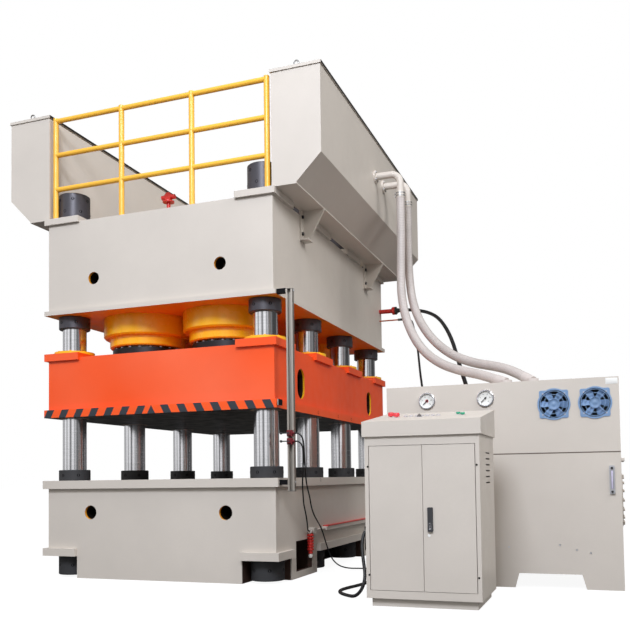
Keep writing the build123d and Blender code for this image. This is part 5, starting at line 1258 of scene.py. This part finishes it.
class PRESS_OT_desk_trim(bpy.types.Operator):
    """Sets the bezels of the buttons and lamps and the bare legend plates on the desk"""
    bl_idname = "press.desk_trim"
    bl_label = "Desk Trim"

    def execute(self, context):
        bezels = []
        for name, radius, bore, places in (("button_bezels", 0.0185, 0.0158, BUTTONS),
                                           ("lamp_bezels", 0.0160, 0.0134, LAMPS)):
            ring = round_stock(name, (0, 0, 0.0012), radius=radius, depth=0.0024, sides=28)
            step(ring, UP, (radius - bore, 0.0), (0.0002, -0.0022))
            soften(ring, 0.0005, 1)
            bezels.append(spread(ring, name, [on_desk(*place) for place in places]))
        dress(join("desk_bezels", bezels), "bezel", "frame")
        plates = []
        for name, wide, deep, places in (("lamp_plates", 0.030, 0.012, LAMP_PLATES),
                                         ("button_plates", 0.034, 0.011, BUTTON_PLATES)):
            plate = flat_stock(name, (-wide / 2, -deep / 2, 0.0), (wide / 2, deep / 2, 0.0010))
            step(plate, UP, (0.0012, 0.0), (0.0004, -0.0003))
            plates.append(spread(plate, name, [on_desk(*place) for place in places]))
        dress(join("legend_plates", plates), "lamp", "frame")
        return {"FINISHED"}


class PRESS_OT_door_trim(bpy.types.Operator):
    """Adds the hinge pins, the key lock and the handle's slot to the console doors"""
    bl_idname = "press.door_trim"
    bl_label = "Door Trim"

    def execute(self, context):
        pins = [towards((x, CABINET.front, z), TO_FRONT)
                for x in (LEFT_DOOR.left - 0.009, RIGHT_DOOR.right + 0.012) for z in (0.916, 0.206)]
        pin = round_stock("pin", (0, 0, 0.0008), radius=0.0065, depth=0.0024, sides=18)
        step(pin, UP, (0.0014, 0.0), (0.0006, -0.0008))
        # The pins are drawn as small pits, near black with painted shade.
        dress(spread(pin, "hinge_pins", pins), "dark_hole", "frame")
        place = (HANDLE.left + 0.007, RIGHT_DOOR.front - 0.0012, HANDLE.foot - 0.024)
        lock = round_stock("key_lock", place, radius=0.0095, depth=0.0030, axis="Y", sides=28)
        step(lock, TO_FRONT, (0.0018, 0.0), (0.0006, -0.0006), (0.0035, 0.0), (0.0005, 0.0008))
        soften(lock, 0.0004, 1)
        dress(lock, "white_plastic", "right_door")
        slot = flat_stock("handle_slot",
                          (HANDLE.left + 0.010, HANDLE.front - 0.0005, HANDLE.foot + 0.016),
                          (HANDLE.left + 0.024, HANDLE.front + 0.0007, HANDLE.foot + 0.056))
        step(slot, TO_FRONT, (0.0022, 0.0), (0.0008, -0.0007))
        soften(slot, 0.0004, 1)
        dress(slot, "bezel", "handle")
        return {"FINISHED"}


# Stage

# What polished pieces reflect: heading in degrees, from -Y round by +X, and brightness
MIRROR_BANDS = ((-180, 0.55), (180, 0.55), (-168, 0.35), (-160, 0.90), (-144, 1.00), (-137, 0.32),
                (-129, 0.42), (-123, 1.00), (-106, 0.85), (-98, 0.20), (-88, 0.26), (-80, 1.00),
                (-62, 0.88), (-56, 0.30), (-49, 0.42), (-44, 0.80), (-36, 0.14), (-10, 0.26),
                (4, 0.06), (48, 0.06), (62, 0.30), (72, 0.10), (100, 0.24), (120, 0.12), (150, 0.42))


class PRESS_OT_stage(bpy.types.Operator):
    """Lights the press softly on a pale floor in front of white"""
    bl_idname = "press.stage"
    bl_label = "Stage"

    def execute(self, context):
        stage = context.scene.press_stage
        clear_selection()
        bpy.ops.mesh.primitive_plane_add(size=160, location=(0, 0, -0.001))
        floor = settle("floor")
        finish = Finish("floor_pale")
        cloud = finish.ramp(finish.noise(0.4, 4.0), 0.0, 1.0)
        finish.done(finish.mix(cloud, (0.10, 0.10, 0.10), (0.11, 0.11, 0.11)), 0.85)
        seen = finish.node("ShaderNodeLightPath").outputs["Is Camera Ray"]
        glow = finish.node("ShaderNodeEmission", {"Color": (1.0, 1.0, 1.0, 1.0),
                                                  "Strength": finish.maths("MULTIPLY", seen, 0.93)})
        added = finish.node("ShaderNodeAddShader", {0: finish.shader.outputs[0], 1: glow.outputs[0]})
        output = finish.tree.nodes["Material Output"]
        finish.tree.links.new(added.outputs[0], output.inputs["Surface"])
        floor.data.materials.append(finish.material)

        for name, power, size, place, aim, colour in (
                ("front_light", stage.key, 3.0, (2.5, -9.0, 7.4), (0.6, -1.6, 2.2), (0.95, 1.00, 1.10)),
                ("side_light", stage.side, 4.0, (8.8, -3.2, 8.2), (1.1, 0.0, 2.6), (1.0, 1.0, 1.0))):
            light = bpy.data.lights.new(name, "AREA")
            light.shape = "DISK"
            light.size = size
            light.energy = power
            light.color = colour
            lamp = bpy.data.objects.new(name, light)
            context.scene.collection.objects.link(lamp)
            lamp.location = place
            lamp.rotation_euler = (Vector(aim) - Vector(place)).to_track_quat("-Z", "Y").to_euler()

        world = bpy.data.worlds.new("studio")
        context.scene.world = world
        world.use_nodes = True
        tree = world.node_tree
        tree.nodes.clear()

        def node(kind, inputs=None, **settings):
            return add_node(tree, kind, inputs, **settings)

        place = node("ShaderNodeTexCoord").outputs["Generated"]
        split = node("ShaderNodeSeparateXYZ", {0: place})
        heading = node("ShaderNodeMath", {0: split.outputs[1], 1: split.outputs[0]},
                       operation="ARCTAN2").outputs[0]
        turn = node("ShaderNodeMapRange", {0: heading, 1: -math.pi, 2: math.pi}).outputs[0]
        bands = node("ShaderNodeValToRGB", {0: turn})
        ramp = bands.color_ramp
        for index, (degrees, strength) in enumerate(MIRROR_BANDS):
            place = (degrees + 180) / 360
            stop = ramp.elements[index] if index < 2 else ramp.elements.new(place)
            stop.position = place
            stop.color = (strength, strength, strength, 1.0)
        mirror = bands.outputs[0]
        path = node("ShaderNodeLightPath")
        soft = node("ShaderNodeMix", {0: path.outputs["Is Glossy Ray"], 2: stage.fill, 3: mirror})
        level = node("ShaderNodeMix", {0: path.outputs["Is Camera Ray"], 2: soft.outputs[0], 3: 1.0})
        warm = node("ShaderNodeMix", {0: path.outputs["Is Diffuse Ray"]}, data_type="RGBA")
        warm.inputs[6].default_value = (1.0, 1.0, 1.0, 1.0)
        warm.inputs[7].default_value = (1.03, 1.0, 0.955, 1.0)
        glow = node("ShaderNodeBackground", {"Color": warm.outputs[2], "Strength": level.outputs[0]})
        node("ShaderNodeOutputWorld", {0: glow.outputs[0]})
        context.scene.view_settings.view_transform = "Standard"
        return {"FINISHED"}


STEPS = (PRESS_OT_camera, PRESS_OT_hoses, PRESS_OT_cables, PRESS_OT_finishes, PRESS_OT_stripes,
         PRESS_OT_nut_holes, PRESS_OT_screws, PRESS_OT_bleed_valve, PRESS_OT_lid_eyes,
         PRESS_OT_edge_holes, PRESS_OT_conduit_ribs, PRESS_OT_rail_fittings, PRESS_OT_fans,
         PRESS_OT_gauges, PRESS_OT_level_gauge, PRESS_OT_unit_trim, PRESS_OT_desk_trim,
         PRESS_OT_door_trim, PRESS_OT_stage)


class PRESS_PT_sidebar(bpy.types.Panel):
    """Lists the press's settings and its steps in order"""
    bl_idname = "PRESS_PT_sidebar"
    bl_label = "Hydraulic Press"
    bl_space_type = "VIEW_3D"
    bl_region_type = "UI"
    bl_category = "Press"

    def draw(self, context):
        scene = context.scene
        for group in (scene.press_colours, scene.press_sizes, scene.press_stage):
            box = self.layout.box()
            for key in group.__annotations__:
                box.prop(group, key)
        for operator in STEPS:
            self.layout.operator(operator.bl_idname)


CLASSES = (PressColours, PressSizes, StageSettings, *STEPS, PRESS_PT_sidebar)


def register():
    for each in CLASSES:
        bpy.utils.register_class(each)
    bpy.types.Scene.press_colours = PointerProperty(type=PressColours)
    bpy.types.Scene.press_sizes = PointerProperty(type=PressSizes)
    bpy.types.Scene.press_stage = PointerProperty(type=StageSettings)


def unregister():
    del bpy.types.Scene.press_stage
    del bpy.types.Scene.press_sizes
    del bpy.types.Scene.press_colours
    for each in reversed(CLASSES):
        bpy.utils.unregister_class(each)


def main():
    register()
    for operator in STEPS:
        group, _, call = operator.bl_idname.partition(".")
        getattr(getattr(bpy.ops, group), call)()


if __name__ == "__main__":
    main()
